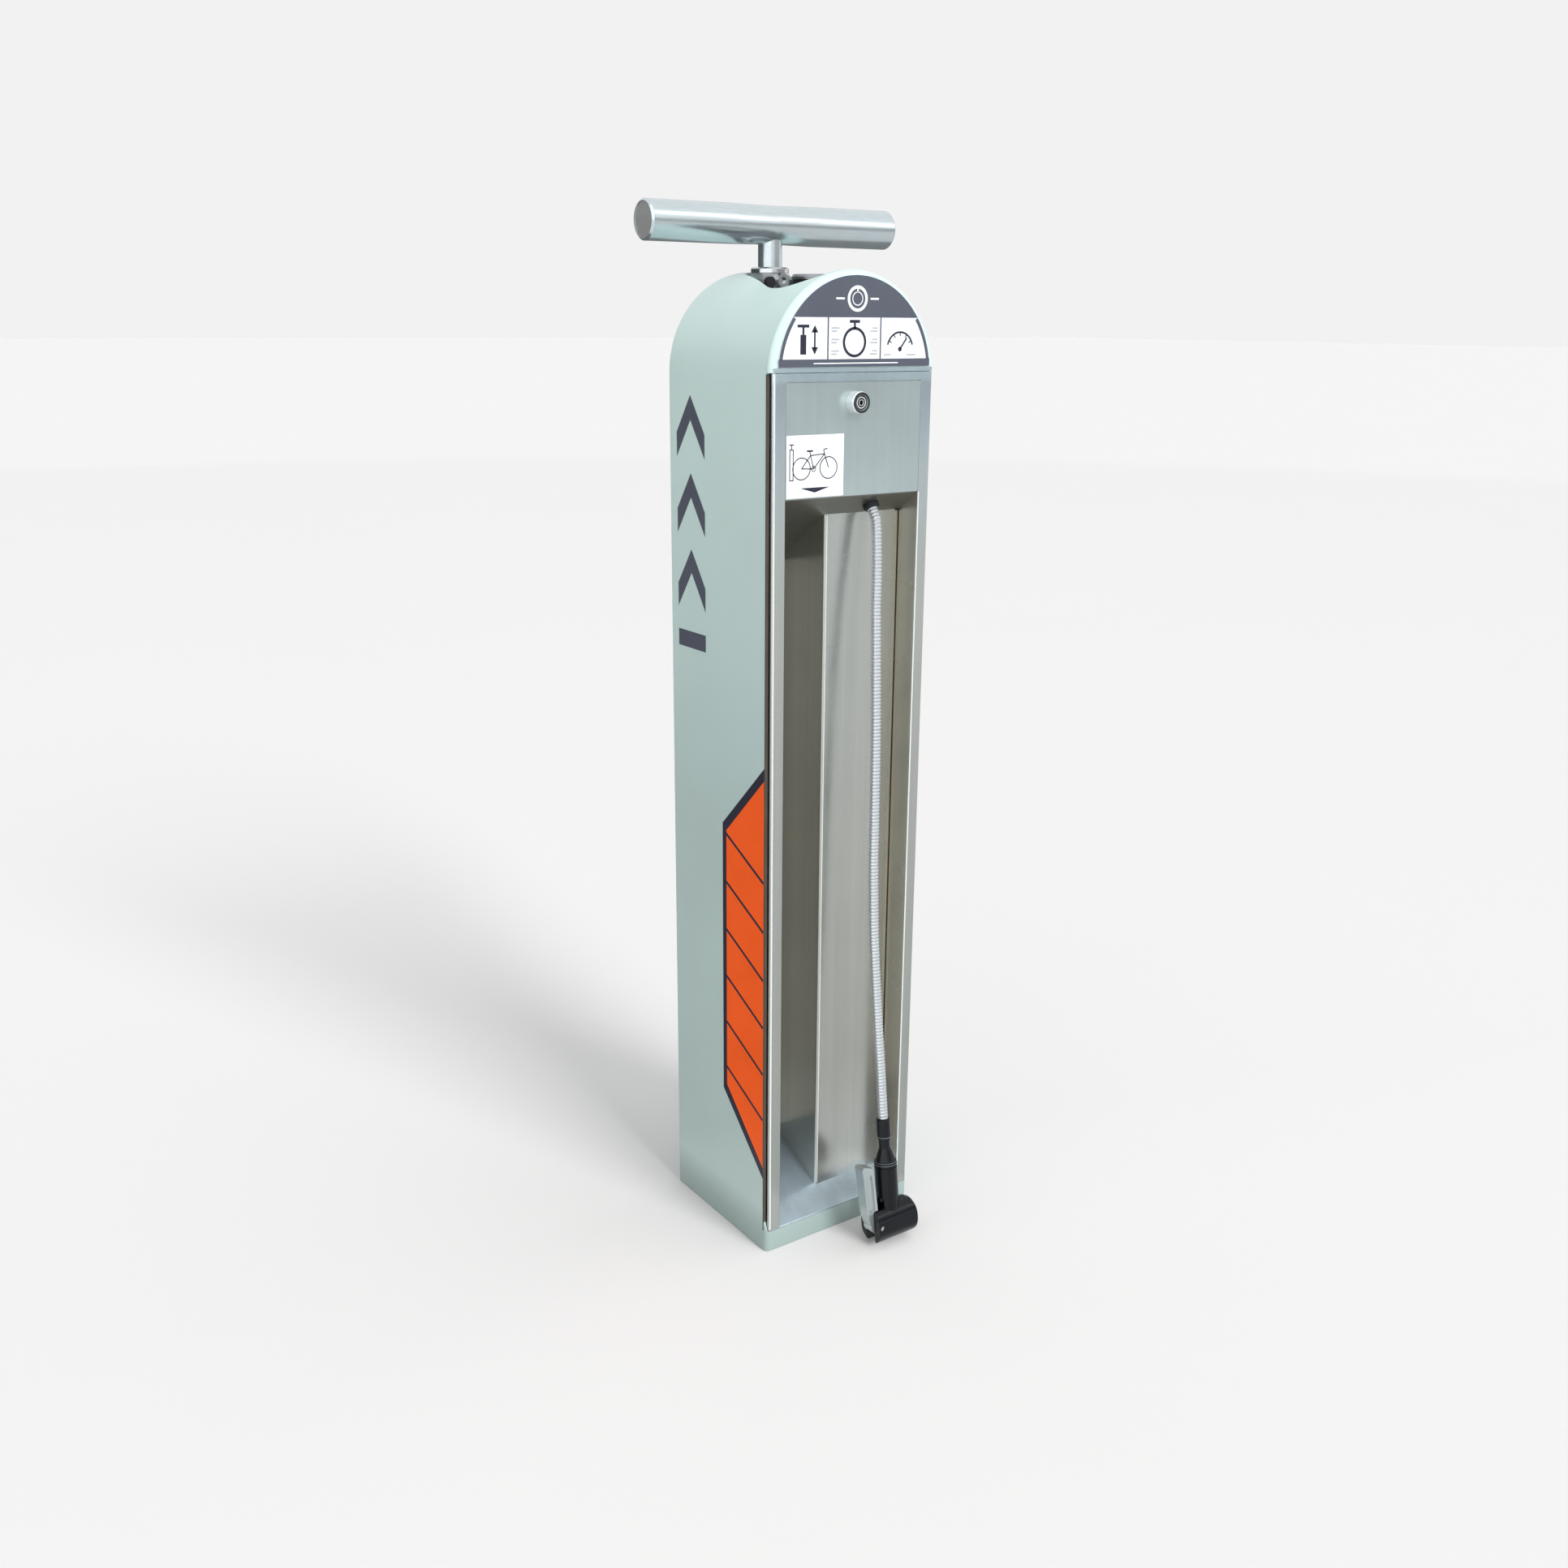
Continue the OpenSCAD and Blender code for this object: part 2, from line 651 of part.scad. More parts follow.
module gauge_needle() color([0.75, 0.1, 0.08]) {
    rod_z(0, gauge_cy, tray_z + fit, needle_z + needle_t, spindle_r);
    translate([0, gauge_cy, needle_z]) rotate([0, 0, 225]) linear_extrude(needle_t)
        polygon([[-needle_l / 3, -needle_w / 2], [-needle_l / 3, needle_w / 2], [0, needle_w / 2],
                 [needle_l, needle_w / 6], [needle_l, -needle_w / 6], [0, -needle_w / 2]]);
}

// Clamp round the rod's guide, with its screw and a rubber stop on the block that faces the gauge
module guide_clamp() color([0.78, 0.8, 0.81]) difference() {
    union() {
        intersection() {
            rod_z(0, pump_y, clamp_z, clamp_z + clamp_h, gland_neck_r + clamp_t);
            box(-half_w, half_w, clamp_y, back, clamp_z, clamp_z + clamp_h);
        }
        box(clamp_x0, clamp_x1, clamp_y, pump_y, clamp_z, clamp_z + clamp_h);
    }
    rod_z(0, pump_y, clamp_z - cut, clamp_z + clamp_h + cut, gland_neck_r + seat);
    rod_y(clamp_screw_x, clamp_screw_z, clamp_y - cut, pump_y, screw_d / 2);
    rod_y(stop_x, stop_z, clamp_y - cut, shank_y + fit, screw_d / 2);
}
module clamp_screw() color([0.8, 0.82, 0.83]) difference() {
    union() {
        rod_y(clamp_screw_x, clamp_screw_z, clamp_y - stud_l, clamp_y, clamp_head_r);
        rod_y(clamp_screw_x, clamp_screw_z, clamp_y, shank_y, screw_d / 2 - seat);
    }
    hex_y(clamp_screw_x, clamp_screw_z, clamp_y - stud_l - cut, clamp_y - stud_l / 3, clamp_head_r / 2);
}
module rubber_stop() color([0.25, 0.26, 0.29]) {
    rod_y(stop_x, stop_z, clamp_y - stud_l, clamp_y, stop_r);
    rod_y(stop_x, stop_z, clamp_y, shank_y, screw_d / 2 - seat);
}

// Pump
module cylinder_tube() color([0.75, 0.77, 0.78]) difference() {
    rod_z(0, pump_y, cyl_z, cyl_top, cyl_d / 2);
    rod_z(0, pump_y, cyl_z - cut, cyl_top + cut, bore_r);
}
module cylinder_foot() color([0.6, 0.62, 0.63]) difference() {
    rod_z(0, pump_y, cyl_z - foot_h, cyl_z + foot_rim, foot_r);
    rod_z(0, pump_y, cyl_z, cyl_z + foot_rim + cut, cyl_d / 2 + seat);
    rod_z(0, pump_y, foot_floor, cyl_z + cut, bore_r / 3);
    rod_x(pump_y, valve_z, 0, foot_r + cut, duct_r);
    rod_z(0, pump_y, valve_z, foot_floor + cut, duct_r);
}
module bottom_buffer() color([0.1, 0.1, 0.1]) difference() {
    rod_z(0, pump_y, cyl_z, cyl_z + buffer_t, bore_r - fit);
    rod_z(0, pump_y, cyl_z - cut, cyl_z + buffer_t + cut, bore_r / 3);
}
module cylinder_bracket() color([0.5, 0.52, 0.53]) difference() {
    union() {
        rod_z(0, pump_y, bracket_z, bracket_z + bracket_h, cyl_d / 2 + bracket_t);
        box(-bracket_half, bracket_half, panel_y - bracket_t, panel_y, bracket_z, bracket_z + bracket_h);
        box(-cyl_d / 2 - bracket_t, -cyl_d / 2, pump_y, panel_y, bracket_z, bracket_z + bracket_h);
        box(cyl_d / 2, cyl_d / 2 + bracket_t, pump_y, panel_y, bracket_z, bracket_z + bracket_h);
    }
    rod_z(0, pump_y, bracket_z - cut, bracket_z + bracket_h + cut, cyl_d / 2 + seat);
}
module gland_body() color([0.7, 0.72, 0.73]) difference() {
    union() {
        rod_z(0, pump_y, cyl_top - gland_skirt, tray_under, foot_r);
        rod_z(0, pump_y, tray_under, collar_z, gland_neck_r);
    }
    rod_z(0, pump_y, cyl_top - gland_skirt - cut, cyl_top, cyl_d / 2 + seat);
    rod_z(0, pump_y, cyl_top - cut, collar_z + cut, bush_r + seat);
}
module guide_bush() color([0.85, 0.8, 0.6]) difference() {
    rod_z(0, pump_y, cyl_top, collar_z, bush_r);
    rod_z(0, pump_y, cyl_top - cut, collar_z + cut, rod_d / 2 + run_fit);
}
module collar_ring() color([0.82, 0.84, 0.85]) translate([0, pump_y, collar_z]) rotate_extrude()
    polygon([[bush_r, 0], [collar_d / 2, 0], [collar_d / 2, collar_h - collar_edge],
             [collar_d / 2 - collar_edge, collar_h], [bush_r, collar_h]]);
module rod_wiper() color([0.08, 0.08, 0.09]) difference() {
    rod_z(0, pump_y, collar_z, collar_z + wiper_h, bush_r - seat);
    rod_z(0, pump_y, collar_z - cut, collar_z + wiper_h + cut, rod_d / 2 + run_fit);
}
module outlet_valve() color([0.78, 0.66, 0.38]) difference() {
    union() {
        rod_x(pump_y, valve_z, foot_r, valve_x + valve_r, valve_r - 2 * valve_rim);
        translate([foot_r, pump_y, valve_z]) rotate([0, 90, 0])
            cylinder(r = valve_r + valve_rim, h = valve_hex_l, $fn = 6);
        rod_z(valve_x, pump_y, valve_z, valve_z + riser_h, riser_r);
    }
    rod_z(valve_x, pump_y, valve_z + riser_seat, valve_z + riser_h + cut, pipe_r + seat);
}
module feed_pipe() color([0.72, 0.45, 0.3]) {
    rise_y = pump_y - gauge_cy;
    run = norm([pipe_x, rise_y]);
    turn = atan2(-rise_y, -pipe_x);
    translate([pipe_x, pump_y, 0]) rotate([0, 0, turn]) {
        rod_z(0, 0, valve_z + riser_seat, pipe_top - pipe_bend, pipe_r);
        translate([pipe_bend, 0, pipe_top - pipe_bend]) rotate([90, 0, 0]) rotate([0, 0, 90])
            rotate_extrude(angle = 90) translate([pipe_bend, 0]) circle(pipe_r);
        rod_x(0, pipe_top, pipe_bend, run - stem_r, pipe_r);
    }
}

// Moving stack of the pump
module piston() color([0.3, 0.32, 0.34]) difference() {
    rod_z(0, pump_y, piston_z, cup_z, bore_r - run_fit);
    rod_z(0, pump_y, piston_z - cut, cup_z + cut, spigot_d / 2 + run_fit);
    for (z = [piston_z + piston_h / 4, piston_z + piston_h * 0.6])
        translate([0, pump_y, z]) difference() {
            cylinder(r = bore_r + cut, h = piston_h / 8);
            translate([0, 0, -cut]) cylinder(r = bore_r - ring_depth, h = piston_h / 8 + 2 * cut);
        }
}
module cup_seal() color([0.12, 0.12, 0.13]) translate([0, pump_y, cup_z]) rotate_extrude()
    polygon([[spigot_d / 2 + run_fit, 0], [bore_r - cup_t * 0.7, 0], [bore_r - run_fit, cup_h * 0.7],
             [bore_r - run_fit, cup_h], [bore_r - cup_t, cup_h], [bore_r - cup_t * 1.3, cup_t],
             [rod_d / 2 + cup_t * 0.7, cup_t], [rod_d / 2 + cup_t * 0.7, cup_h],
             [spigot_d / 2 + run_fit, cup_h]]);
module rod() color([0.8, 0.82, 0.83]) difference() {
    union() {
        rod_z(0, pump_y, stack_z, shoulder_z, spigot_d / 2);
        rod_z(0, pump_y, shoulder_z, handle_z, rod_d / 2);
    }
    rod_z(0, pump_y, rod_bore_z, handle_z + cut, rod_bore_r);
}
module piston_nut() color([0.7, 0.71, 0.72]) difference() {
    translate([0, pump_y, stack_z]) cylinder(r = nut_r, h = nut_h, $fn = 6);
    rod_z(0, pump_y, stack_z - cut, stack_z + nut_h + cut, spigot_d / 2 + seat);
}

// Handle
module handle_tube() color([0.8, 0.83, 0.84]) difference() {
    translate([0, pump_y, handle_z]) rotate([0, 90, 0]) rotate_extrude() polygon([
        [handle_d / 2 - handle_wall, -handle_l / 2], [handle_d / 2 - tube_round, -handle_l / 2],
        [handle_d / 2, -handle_l / 2 + tube_round], [handle_d / 2, -handle_l / 6], [waist_d / 2, 0],
        [handle_d / 2, handle_l / 6], [handle_d / 2, handle_l / 2 - tube_round],
        [handle_d / 2 - tube_round, handle_l / 2], [handle_d / 2 - handle_wall, handle_l / 2],
        [handle_d / 2 - handle_wall, handle_l / 6], [waist_d / 2 - handle_wall, hub_l / 2],
        [waist_d / 2 - handle_wall, -hub_l / 2], [handle_d / 2 - handle_wall, -handle_l / 6]]);
    rod_z(0, pump_y, handle_z - handle_d, handle_z, rod_d / 2 + seat);
}
module handle_hub() color([0.6, 0.62, 0.63]) difference() {
    rod_x(pump_y, handle_z, -hub_l / 2, hub_l / 2, hub_r);
    rod_z(0, pump_y, handle_z - handle_d, handle_z, rod_d / 2 + seat);
}
module handle_plugs() color([0.6, 0.61, 0.61]) for (side = [-1, 1])
    translate([side * handle_l / 2, pump_y, handle_z]) rotate([0, -side * 90, 0])
        translate([0, 0, plug_sink]) cylinder(r = handle_d / 2 - handle_wall - seat, h = plug_h);

// Door
module door_frame() color([0.72, 0.73, 0.71]) difference() {
    union() {
        box(hinge_x, door_r, front, front + door_t, door_z0, door_z1);
        rod_z(hinge_x, hinge_y, door_z0, door_z1, hinge_d / 2);
        box(door_r - door_t, door_r, front, front + door_return, door_z0, door_z1);
        box(hinge_x, door_r, front, front + door_return, door_z1 - door_t, door_z1);
        box(window_l - door_t, window_l, front, front + door_return, box_z0 + 2 * door_t, door_z1);
    }
    box(window_l, window_r, front - cut, front + door_return + cut, door_z0 - cut, box_z1);
    rod_z(hinge_x, hinge_y, door_z0 - cut, door_z0 + pin_in + cut, pin_d / 2 + run_fit);
    rod_z(hinge_x, hinge_y, door_z1 - pin_in - cut, door_z1 + cut, pin_d / 2 + run_fit);
}
module box_front() color([0.68, 0.71, 0.71]) difference() {
    union() {
        box(window_l + fit, window_r - fit, front, front + door_t, box_z0, box_z1 - fit);
        box(window_l + fit, window_r - fit, front, front + box_return, box_z1 - fit - door_t, box_z1 - fit);
        for (x = [window_l + fit, window_r - fit - door_t])
            box(x, x + door_t, front, front + box_return, box_z0 + 2 * door_t, box_z1 - fit);
    }
    rod_y(0, lock_z, front - cut, front + box_return + cut, lock_d / 2 + seat);
}

// Side outline of a liner sheet between the sloping floor and ceiling
module liner_side(y0, y1) {
    polygon([[y0, floor_z(y0)], [y1, floor_z(y1)], [y1, ceil_z(y1)], [y0, ceil_z(y0)]]);
}
module slot_liner() color([0.6, 0.6, 0.56]) {
    along_x(window_l - liner_t, window_l) liner_side(liner_y, slot_back);
    along_x(window_l - liner_t, slot_r + liner_t) liner_side(slot_back, slot_back + liner_t);
}
module centre_panel() color([0.68, 0.69, 0.67]) intersection() {
    linear_extrude(top_z) difference() {
        union() {
            translate([slot_r, niche_back + bend_r]) square([liner_t, slot_back - niche_back - bend_r]);
            translate([slot_r + bend_r, niche_back])
                square([window_r - shadow_gap - slot_r - bend_r, liner_t]);
            intersection() {
                translate([slot_r + bend_r, niche_back + bend_r]) circle(bend_r);
                translate([slot_r, niche_back]) square(bend_r);
            }
        }
        translate([slot_r + bend_r, niche_back + bend_r]) circle(bend_r - liner_t);
    }
    along_x(slot_r - cut, window_r + cut) liner_side(niche_back - cut, slot_back);
}
module right_wall() color([0.7, 0.7, 0.66])
    along_x(window_r, window_r + liner_t) liner_side(liner_y, niche_back + liner_t + shadow_gap);

// Sloping plates: the slot's part reaches further back than the niche's
module slope_side(y0, y1, lower, rise, angle) {
    polygon([[y0, lower], [y1, lower + (y1 - y0) * tan(angle)],
             [y1, lower + (y1 - y0) * tan(angle) + rise], [y0, lower + rise]]);
}
module recess_ceiling() color([0.55, 0.56, 0.54]) difference() {
    union() {
        along_x(window_l - liner_t, slot_r + liner_t)
            slope_side(liner_y, slot_back + liner_t, ceil_z(liner_y), ceil_rise_t, -ceil_a);
        along_x(slot_r, window_r + liner_t)
            slope_side(liner_y, niche_back + liner_t, ceil_z(liner_y), ceil_rise_t, -ceil_a);
    }
    translate(out_point) rotate([180 - ceil_a, 0, 0])
        translate([0, 0, -gland_thread / 2]) cylinder(r = gland_thread_r + seat, h = gland_thread);
}
module recess_floor() color([0.66, 0.7, 0.72]) {
    along_x(window_l, slot_r + liner_t)
        slope_side(front, liner_y, door_z0, floor_rise_t, floor_a);
    along_x(slot_r, window_r)
        slope_side(front, liner_y, door_z0, floor_rise_t, floor_a);
    along_x(window_l - liner_t, slot_r + liner_t)
        slope_side(liner_y, slot_back + liner_t, floor_z(liner_y) - floor_rise_t, floor_rise_t, floor_a);
    along_x(slot_r, window_r + liner_t)
        slope_side(liner_y, niche_back + liner_t, floor_z(liner_y) - floor_rise_t, floor_rise_t, floor_a);
}

// Lock
module lock_housing() color([0.82, 0.84, 0.85]) difference() {
    translate([0, housing_y1, lock_z]) rotate([90, 0, 0]) rotate_extrude() polygon([
        [0, 0], [lock_d / 2 - thread_step, 0], [lock_d / 2 - thread_step, lock_in], [lock_d / 2, lock_in],
        [lock_d / 2, lock_l - lock_edge], [lock_d / 2 - lock_edge, lock_l], [0, lock_l]]);
    rod_y(0, lock_z, housing_y0 - cut, housing_y1 + cut, plug_d / 2 + run_fit);
}
module lock_nut() color([0.7, 0.71, 0.7]) difference() {
    hex_y(0, lock_z, front + door_t, front + door_t + lock_nut_h, lock_nut_r);
    rod_y(0, lock_z, front + door_t - cut, front + door_t + lock_nut_h + cut, lock_d / 2 - thread_step + seat);
}
module lock_plug() color([0.3, 0.31, 0.32]) difference() {
    union() {
        rod_y(0, lock_z, housing_y0 + plug_step, housing_y1 + fit, plug_d / 2);
        rod_y(0, lock_z, housing_y1, cam_y + cam_t, tail_d / 2);
    }
    box(-key_w / 2, key_w / 2, housing_y0, housing_y0 + plug_step + key_depth, lock_z - plug_d / 4,
        lock_z + plug_d / 4);
}
module lock_cam() color([0.7, 0.72, 0.73]) difference() {
    along_y(cam_y, cam_y + cam_t) difference() {
        union() {
            translate([0, lock_z]) circle(cam_w / 2);
            translate([0, lock_z - cam_w / 2]) square([cam_l - cam_w / 2, cam_w]);
            translate([cam_l - cam_w / 2, lock_z]) circle(cam_w / 2);
        }
        translate([0, lock_z]) circle(tail_d / 2 + seat);
    }
}
module cam_screw() color([0.75, 0.76, 0.77]) difference() {
    hex_y(0, lock_z, cam_y + cam_t, cam_y + cam_t + cam_nut_h, cam_nut_r);
    rod_y(0, lock_z, cam_y + cam_t + cam_nut_h / 2, cam_y + cam_t + cam_nut_h + cut, cam_nut_r / 3);
}

// Hose outlet, square to the ceiling
module at_outlet() {
    translate(out_point) rotate([180 - ceil_a, 0, 0]) children();
}
module hose_gland() color([0.1, 0.11, 0.12]) at_outlet() difference() {
    rotate_extrude() polygon([
        [0, -gland_thread], [gland_thread_r, -gland_thread], [gland_thread_r, 0], [gland_r, 0],
        [gland_r, gland_out - gland_edge], [gland_r - gland_edge, gland_out], [0, gland_out]]);
    translate([0, 0, -gland_thread - cut]) cylinder(r = hose_bore / 2, h = gland_thread + gland_out + 2 * cut);
}
module gland_nut() color([0.7, 0.71, 0.72]) at_outlet() difference() {
    translate([0, 0, -liner_t - gland_nut_h]) cylinder(r = gland_nut_r, h = gland_nut_h, $fn = 6);
    translate([0, 0, -liner_t - gland_nut_h - cut])
        cylinder(r = gland_thread_r + seat, h = gland_nut_h + 2 * cut);
}
module hose_elbow() color([0.75, 0.62, 0.35]) at_outlet() {
    translate([0, 0, -gland_thread - elbow_drop]) cylinder(r = gland_thread_r, h = elbow_drop);
    translate([0, 0, -gland_thread - elbow_drop]) sphere(gland_thread_r);
    translate([0, 0, -gland_thread - elbow_drop]) rotate([0, 90, 0]) cylinder(r = barb_r, h = elbow_l);
}

// Hose: ribs are pairs of rings of 8 points, around a smooth bore
module hose() color([0.82, 0.85, 0.86]) {
    sides = 8;
    n = len(hose_route) - 1;
    outer_n = 2 * ribs + 1;
    inner_n = 2 * len(hose_route);
    crest = hose_d / 2;
    outer = joined([for (i = [0 : outer_n - 1])
        ring(hose_route, n * i / (outer_n - 1), i % 2 == 0 ? crest : crest - groove, sides)]);
    inner = joined([for (i = [0 : inner_n - 1]) ring(hose_route, n * i / (inner_n - 1), hose_bore / 2, sides)]);
    start = len(outer);
    outer_faces = joined([for (i = [0 : outer_n - 2]) band(i * sides, (i + 1) * sides, sides)]);
    inner_faces = joined([for (i = [0 : inner_n - 2])
        [for (f = band(start + i * sides, start + (i + 1) * sides, sides)) [f[0], f[2], f[1]]]]);
    first_cap = [for (f = band(0, start, sides)) [f[0], f[2], f[1]]];
    last_cap = band((outer_n - 1) * sides, start + (inner_n - 1) * sides, sides);
    polyhedron(points = concat(outer, inner), faces = concat(outer_faces, inner_faces, first_cap, last_cap));
}

// Pump head, built down its own axis from the hose's end
module at_head() {
    translate(head_top) rotate([head_tilt, 0, 0]) children();
}
module hose_boot() color([0.1, 0.12, 0.13]) at_head() translate([0, 0, -boot_l]) rotate_extrude() polygon([
    [0, 0], [boot_r - boot_step, 0], [boot_r - boot_step, boot_ring], [boot_r, boot_ring + boot_step],
    [boot_r, boot_l - boot_edge], [boot_r - boot_edge, boot_l], [0, boot_l]]);
module head_neck() color([0.12, 0.14, 0.15]) at_head() translate([0, 0, body_top]) rotate_extrude() polygon([
    [0, 0], [head_d / 2 - cone_step, 0], [head_d / 2 - cone_step, cone_ring],
    [head_d / 2 - 2 * cone_step, cone_ring + cone_step], [neck_r + cone_step, cone_l - cone_ring],
    [neck_r, cone_l + cone_step], [neck_r, cone_l + neck_l], [0, cone_l + neck_l]]);

// The barrel's obround section, with a rounded right end
module barrel() {
    intersection() {
        along_x(barrel_x0, barrel_x1) {
            translate([0, barrel_z]) circle(barrel_d / 2);
            translate([-barrel_d / 2, barrel_z]) square([barrel_d, barrel_rise]);
            translate([0, barrel_z + barrel_rise]) circle(barrel_d / 2);
        }
        translate([barrel_x0, 0, barrel_mid]) rotate([0, 90, 0]) rotate_extrude() polygon([
            [0, 0], [barrel_end_r - barrel_edge, 0], [barrel_end_r, barrel_edge],
            [barrel_end_r, barrel_l - barrel_round],
            [barrel_end_r - barrel_round * barrel_round_share, barrel_l - barrel_round * barrel_round_share],
            [barrel_end_r - barrel_round, barrel_l], [0, barrel_l]]);
    }
}
module head_body() color([0.11, 0.13, 0.15]) at_head() difference() {
    union() {
        translate([0, 0, barrel_z]) cylinder(r = head_d / 2, h = body_top - barrel_z);
        barrel();
    }
    translate([0, 0, body_top - groove_drop]) difference() {
        cylinder(r = head_d, h = groove_w);
        translate([0, 0, -cut]) cylinder(r = head_d / 2 - cone_step, h = groove_w + 2 * cut);
    }
    // slot for the lever, and the pin through both cheeks
    translate([barrel_x0 - cut, -lever_slot / 2, barrel_z - barrel_d])
        cube([lever_slot_x + cut, lever_slot, 2 * barrel_d]);
    translate([lever_pin_x, barrel_d, lever_pin_z]) rotate([90, 0, 0])
        cylinder(r = lever_pin_r + seat, h = 2 * barrel_d);
    // seat of the valve seal
    translate([barrel_x1 - mouth_l, 0, barrel_mid]) rotate([0, 90, 0])
        cylinder(r = mouth_r + seat, h = mouth_l + cut);
}
module valve_seal() color([0.2, 0.2, 0.21]) at_head() translate([barrel_x1 - mouth_l, 0, barrel_mid])
    rotate([0, 90, 0]) difference() {
        cylinder(r = mouth_r, h = mouth_l);
        translate([0, 0, -cut]) cylinder(r = mouth_d / 2, h = mouth_l + 2 * cut);
    }
module mouth_ring() color([0.15, 0.16, 0.17]) at_head() translate([barrel_x1, 0, barrel_mid])
    rotate([0, 90, 0]) difference() {
        cylinder(r1 = mouth_ring_r, r2 = mouth_ring_r - mouth_taper, h = mouth_ring_t);
        translate([0, 0, -cut]) cylinder(r = mouth_d / 2 + mouth_taper, h = mouth_ring_t + 2 * cut);
    }
// Lever: a blade from the pivot boss, beside the head's body, flared at its tip and pocketed on both sides
module lever_plate(shares, y0, y1) {
    translate([lever_pin_x, 0, lever_pin_z]) along_y(y0, y1) polygon([for (s = shares) s * lever_l]);
}
module lever() color([0.78, 0.82, 0.82]) at_head() difference() {
    union() {
        lever_plate(lever_shares, -lever_w / 2, lever_w / 2);
        rod_y(lever_pin_x, lever_pin_z, -lever_w / 2, lever_w / 2, lever_boss_r);
    }
    lever_plate(pocket_shares, -lever_w / 2 - cut, -lever_w / 2 + lever_web);
    lever_plate(pocket_shares, lever_w / 2 - lever_web, lever_w / 2 + cut);
    rod_y(lever_pin_x, lever_pin_z, -barrel_d, barrel_d, lever_pin_r + run_fit);
}
module lever_pin() color([0.85, 0.87, 0.88]) at_head()
    rod_y(lever_pin_x, lever_pin_z, lever_pin_sink - barrel_d / 2, barrel_d / 2 - lever_pin_sink, lever_pin_r);

shell();
front_cap();
sign_plate();
base_plate();
back_panel();
back_screws();
top_tray();
lock_strike();
hinge_pins();
gauge_case();
gauge_bezel();
gauge_glass();
gauge_dial();
gauge_stem();
gauge_needle();
guide_clamp();
clamp_screw();
rubber_stop();
cylinder_tube();
cylinder_foot();
bottom_buffer();
cylinder_bracket();
gland_body();
guide_bush();
collar_ring();
rod_wiper();
outlet_valve();
feed_pipe();
piston();
cup_seal();
rod();
piston_nut();
handle_hub();
handle_tube();
handle_plugs();
door_frame();
box_front();
slot_liner();
centre_panel();
right_wall();
recess_ceiling();
recess_floor();
lock_housing();
lock_nut();
lock_plug();
lock_cam();
cam_screw();
hose_gland();
gland_nut();
hose_elbow();
hose();
hose_boot();
head_neck();
head_body();
valve_seal();
mouth_ring();
lever();
lever_pin();
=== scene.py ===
"""Public bicycle pump column: camera, light, materials and the pieces that the CAD leaves to the scene."""
import json
import math
import bpy
import bmesh
from mathutils import Matrix, Vector


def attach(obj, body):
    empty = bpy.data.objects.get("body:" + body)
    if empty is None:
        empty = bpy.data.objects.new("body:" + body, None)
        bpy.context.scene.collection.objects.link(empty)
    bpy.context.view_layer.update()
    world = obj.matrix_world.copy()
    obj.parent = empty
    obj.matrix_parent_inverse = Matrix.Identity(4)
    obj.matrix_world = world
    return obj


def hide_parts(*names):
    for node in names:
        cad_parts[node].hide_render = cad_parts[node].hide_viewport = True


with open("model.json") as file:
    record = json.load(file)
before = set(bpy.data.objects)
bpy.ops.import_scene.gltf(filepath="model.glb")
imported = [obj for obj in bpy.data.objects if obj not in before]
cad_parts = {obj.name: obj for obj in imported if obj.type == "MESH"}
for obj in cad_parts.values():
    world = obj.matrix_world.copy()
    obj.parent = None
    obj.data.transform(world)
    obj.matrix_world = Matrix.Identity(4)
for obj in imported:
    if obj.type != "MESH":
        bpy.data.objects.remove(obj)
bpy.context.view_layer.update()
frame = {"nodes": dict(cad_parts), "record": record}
nodes = frame["nodes"]
scene = bpy.context.scene
scene.view_settings.view_transform = "Standard"

# Places in the shared frame, in millimetres
MM = 0.001
HALF_W = 90.0
FRONT = -82.0
WALL_FRONT = -76.5
ARCH_Z = 842.0
PUMP_Y = 50.0
HANDLE_Z = 972.6
GAUGE_Y = -30.0
DIAL_TOP = 913.0
SIGN_FACE = FRONT - 1.5
BOX_FOOT = 740.6
NICHE_BACK = -54.7
LOCK_AT = (0, 821.5)
LOCK_FACE = -92.5
PLUG_FACE = -91.5
HEAD_AT = (26.5, -117.5, 130)
HEAD_LEAN = math.radians(-7)
CEILING_SLOPE = math.radians(34.4)


def around(r, a, c=(0, 0)):
    """The point at a radius and an angle in degrees round a centre."""
    t = math.radians(a)
    return c[0] + r * math.cos(t), c[1] + r * math.sin(t)


# Camera, as the photograph was taken; angles in degrees
CAMERA_AT = (-850.3, -1190.3, 892.2)
CAMERA_YAW, CAMERA_PITCH, CAMERA_ROLL = 35.07, 16.76, 0.45
CAMERA_LENS = 35.585
SENSOR_WIDTH = 36.0
CLIP_END = 200


def set_camera():
    yaw, pitch, roll = math.radians(CAMERA_YAW), math.radians(CAMERA_PITCH), math.radians(CAMERA_ROLL)
    forward = Vector((math.sin(yaw) * math.cos(pitch), math.cos(yaw) * math.cos(pitch), -math.sin(pitch)))
    right = Vector((math.cos(yaw), -math.sin(yaw), 0))
    up = right.cross(forward)
    rolled_right = right * math.cos(roll) + up * math.sin(roll)
    rolled_up = up * math.cos(roll) - right * math.sin(roll)
    cam = bpy.data.cameras.new("camera")
    cam.lens, cam.sensor_width, cam.clip_end = CAMERA_LENS, SENSOR_WIDTH, CLIP_END
    ob = bpy.data.objects.new("camera", cam)
    scene.collection.objects.link(ob)
    turn = Matrix((rolled_right, rolled_up, -forward)).transposed().to_4x4()
    turn.translation = Vector(CAMERA_AT) * MM
    ob.matrix_world = turn
    scene.camera = ob


set_camera()


# Node trees
# with these two, the grid that the noise is made on shows no line across a sheet
LACUNARITY = 2.13
TILT = (0.02, 0.02, 0.02)


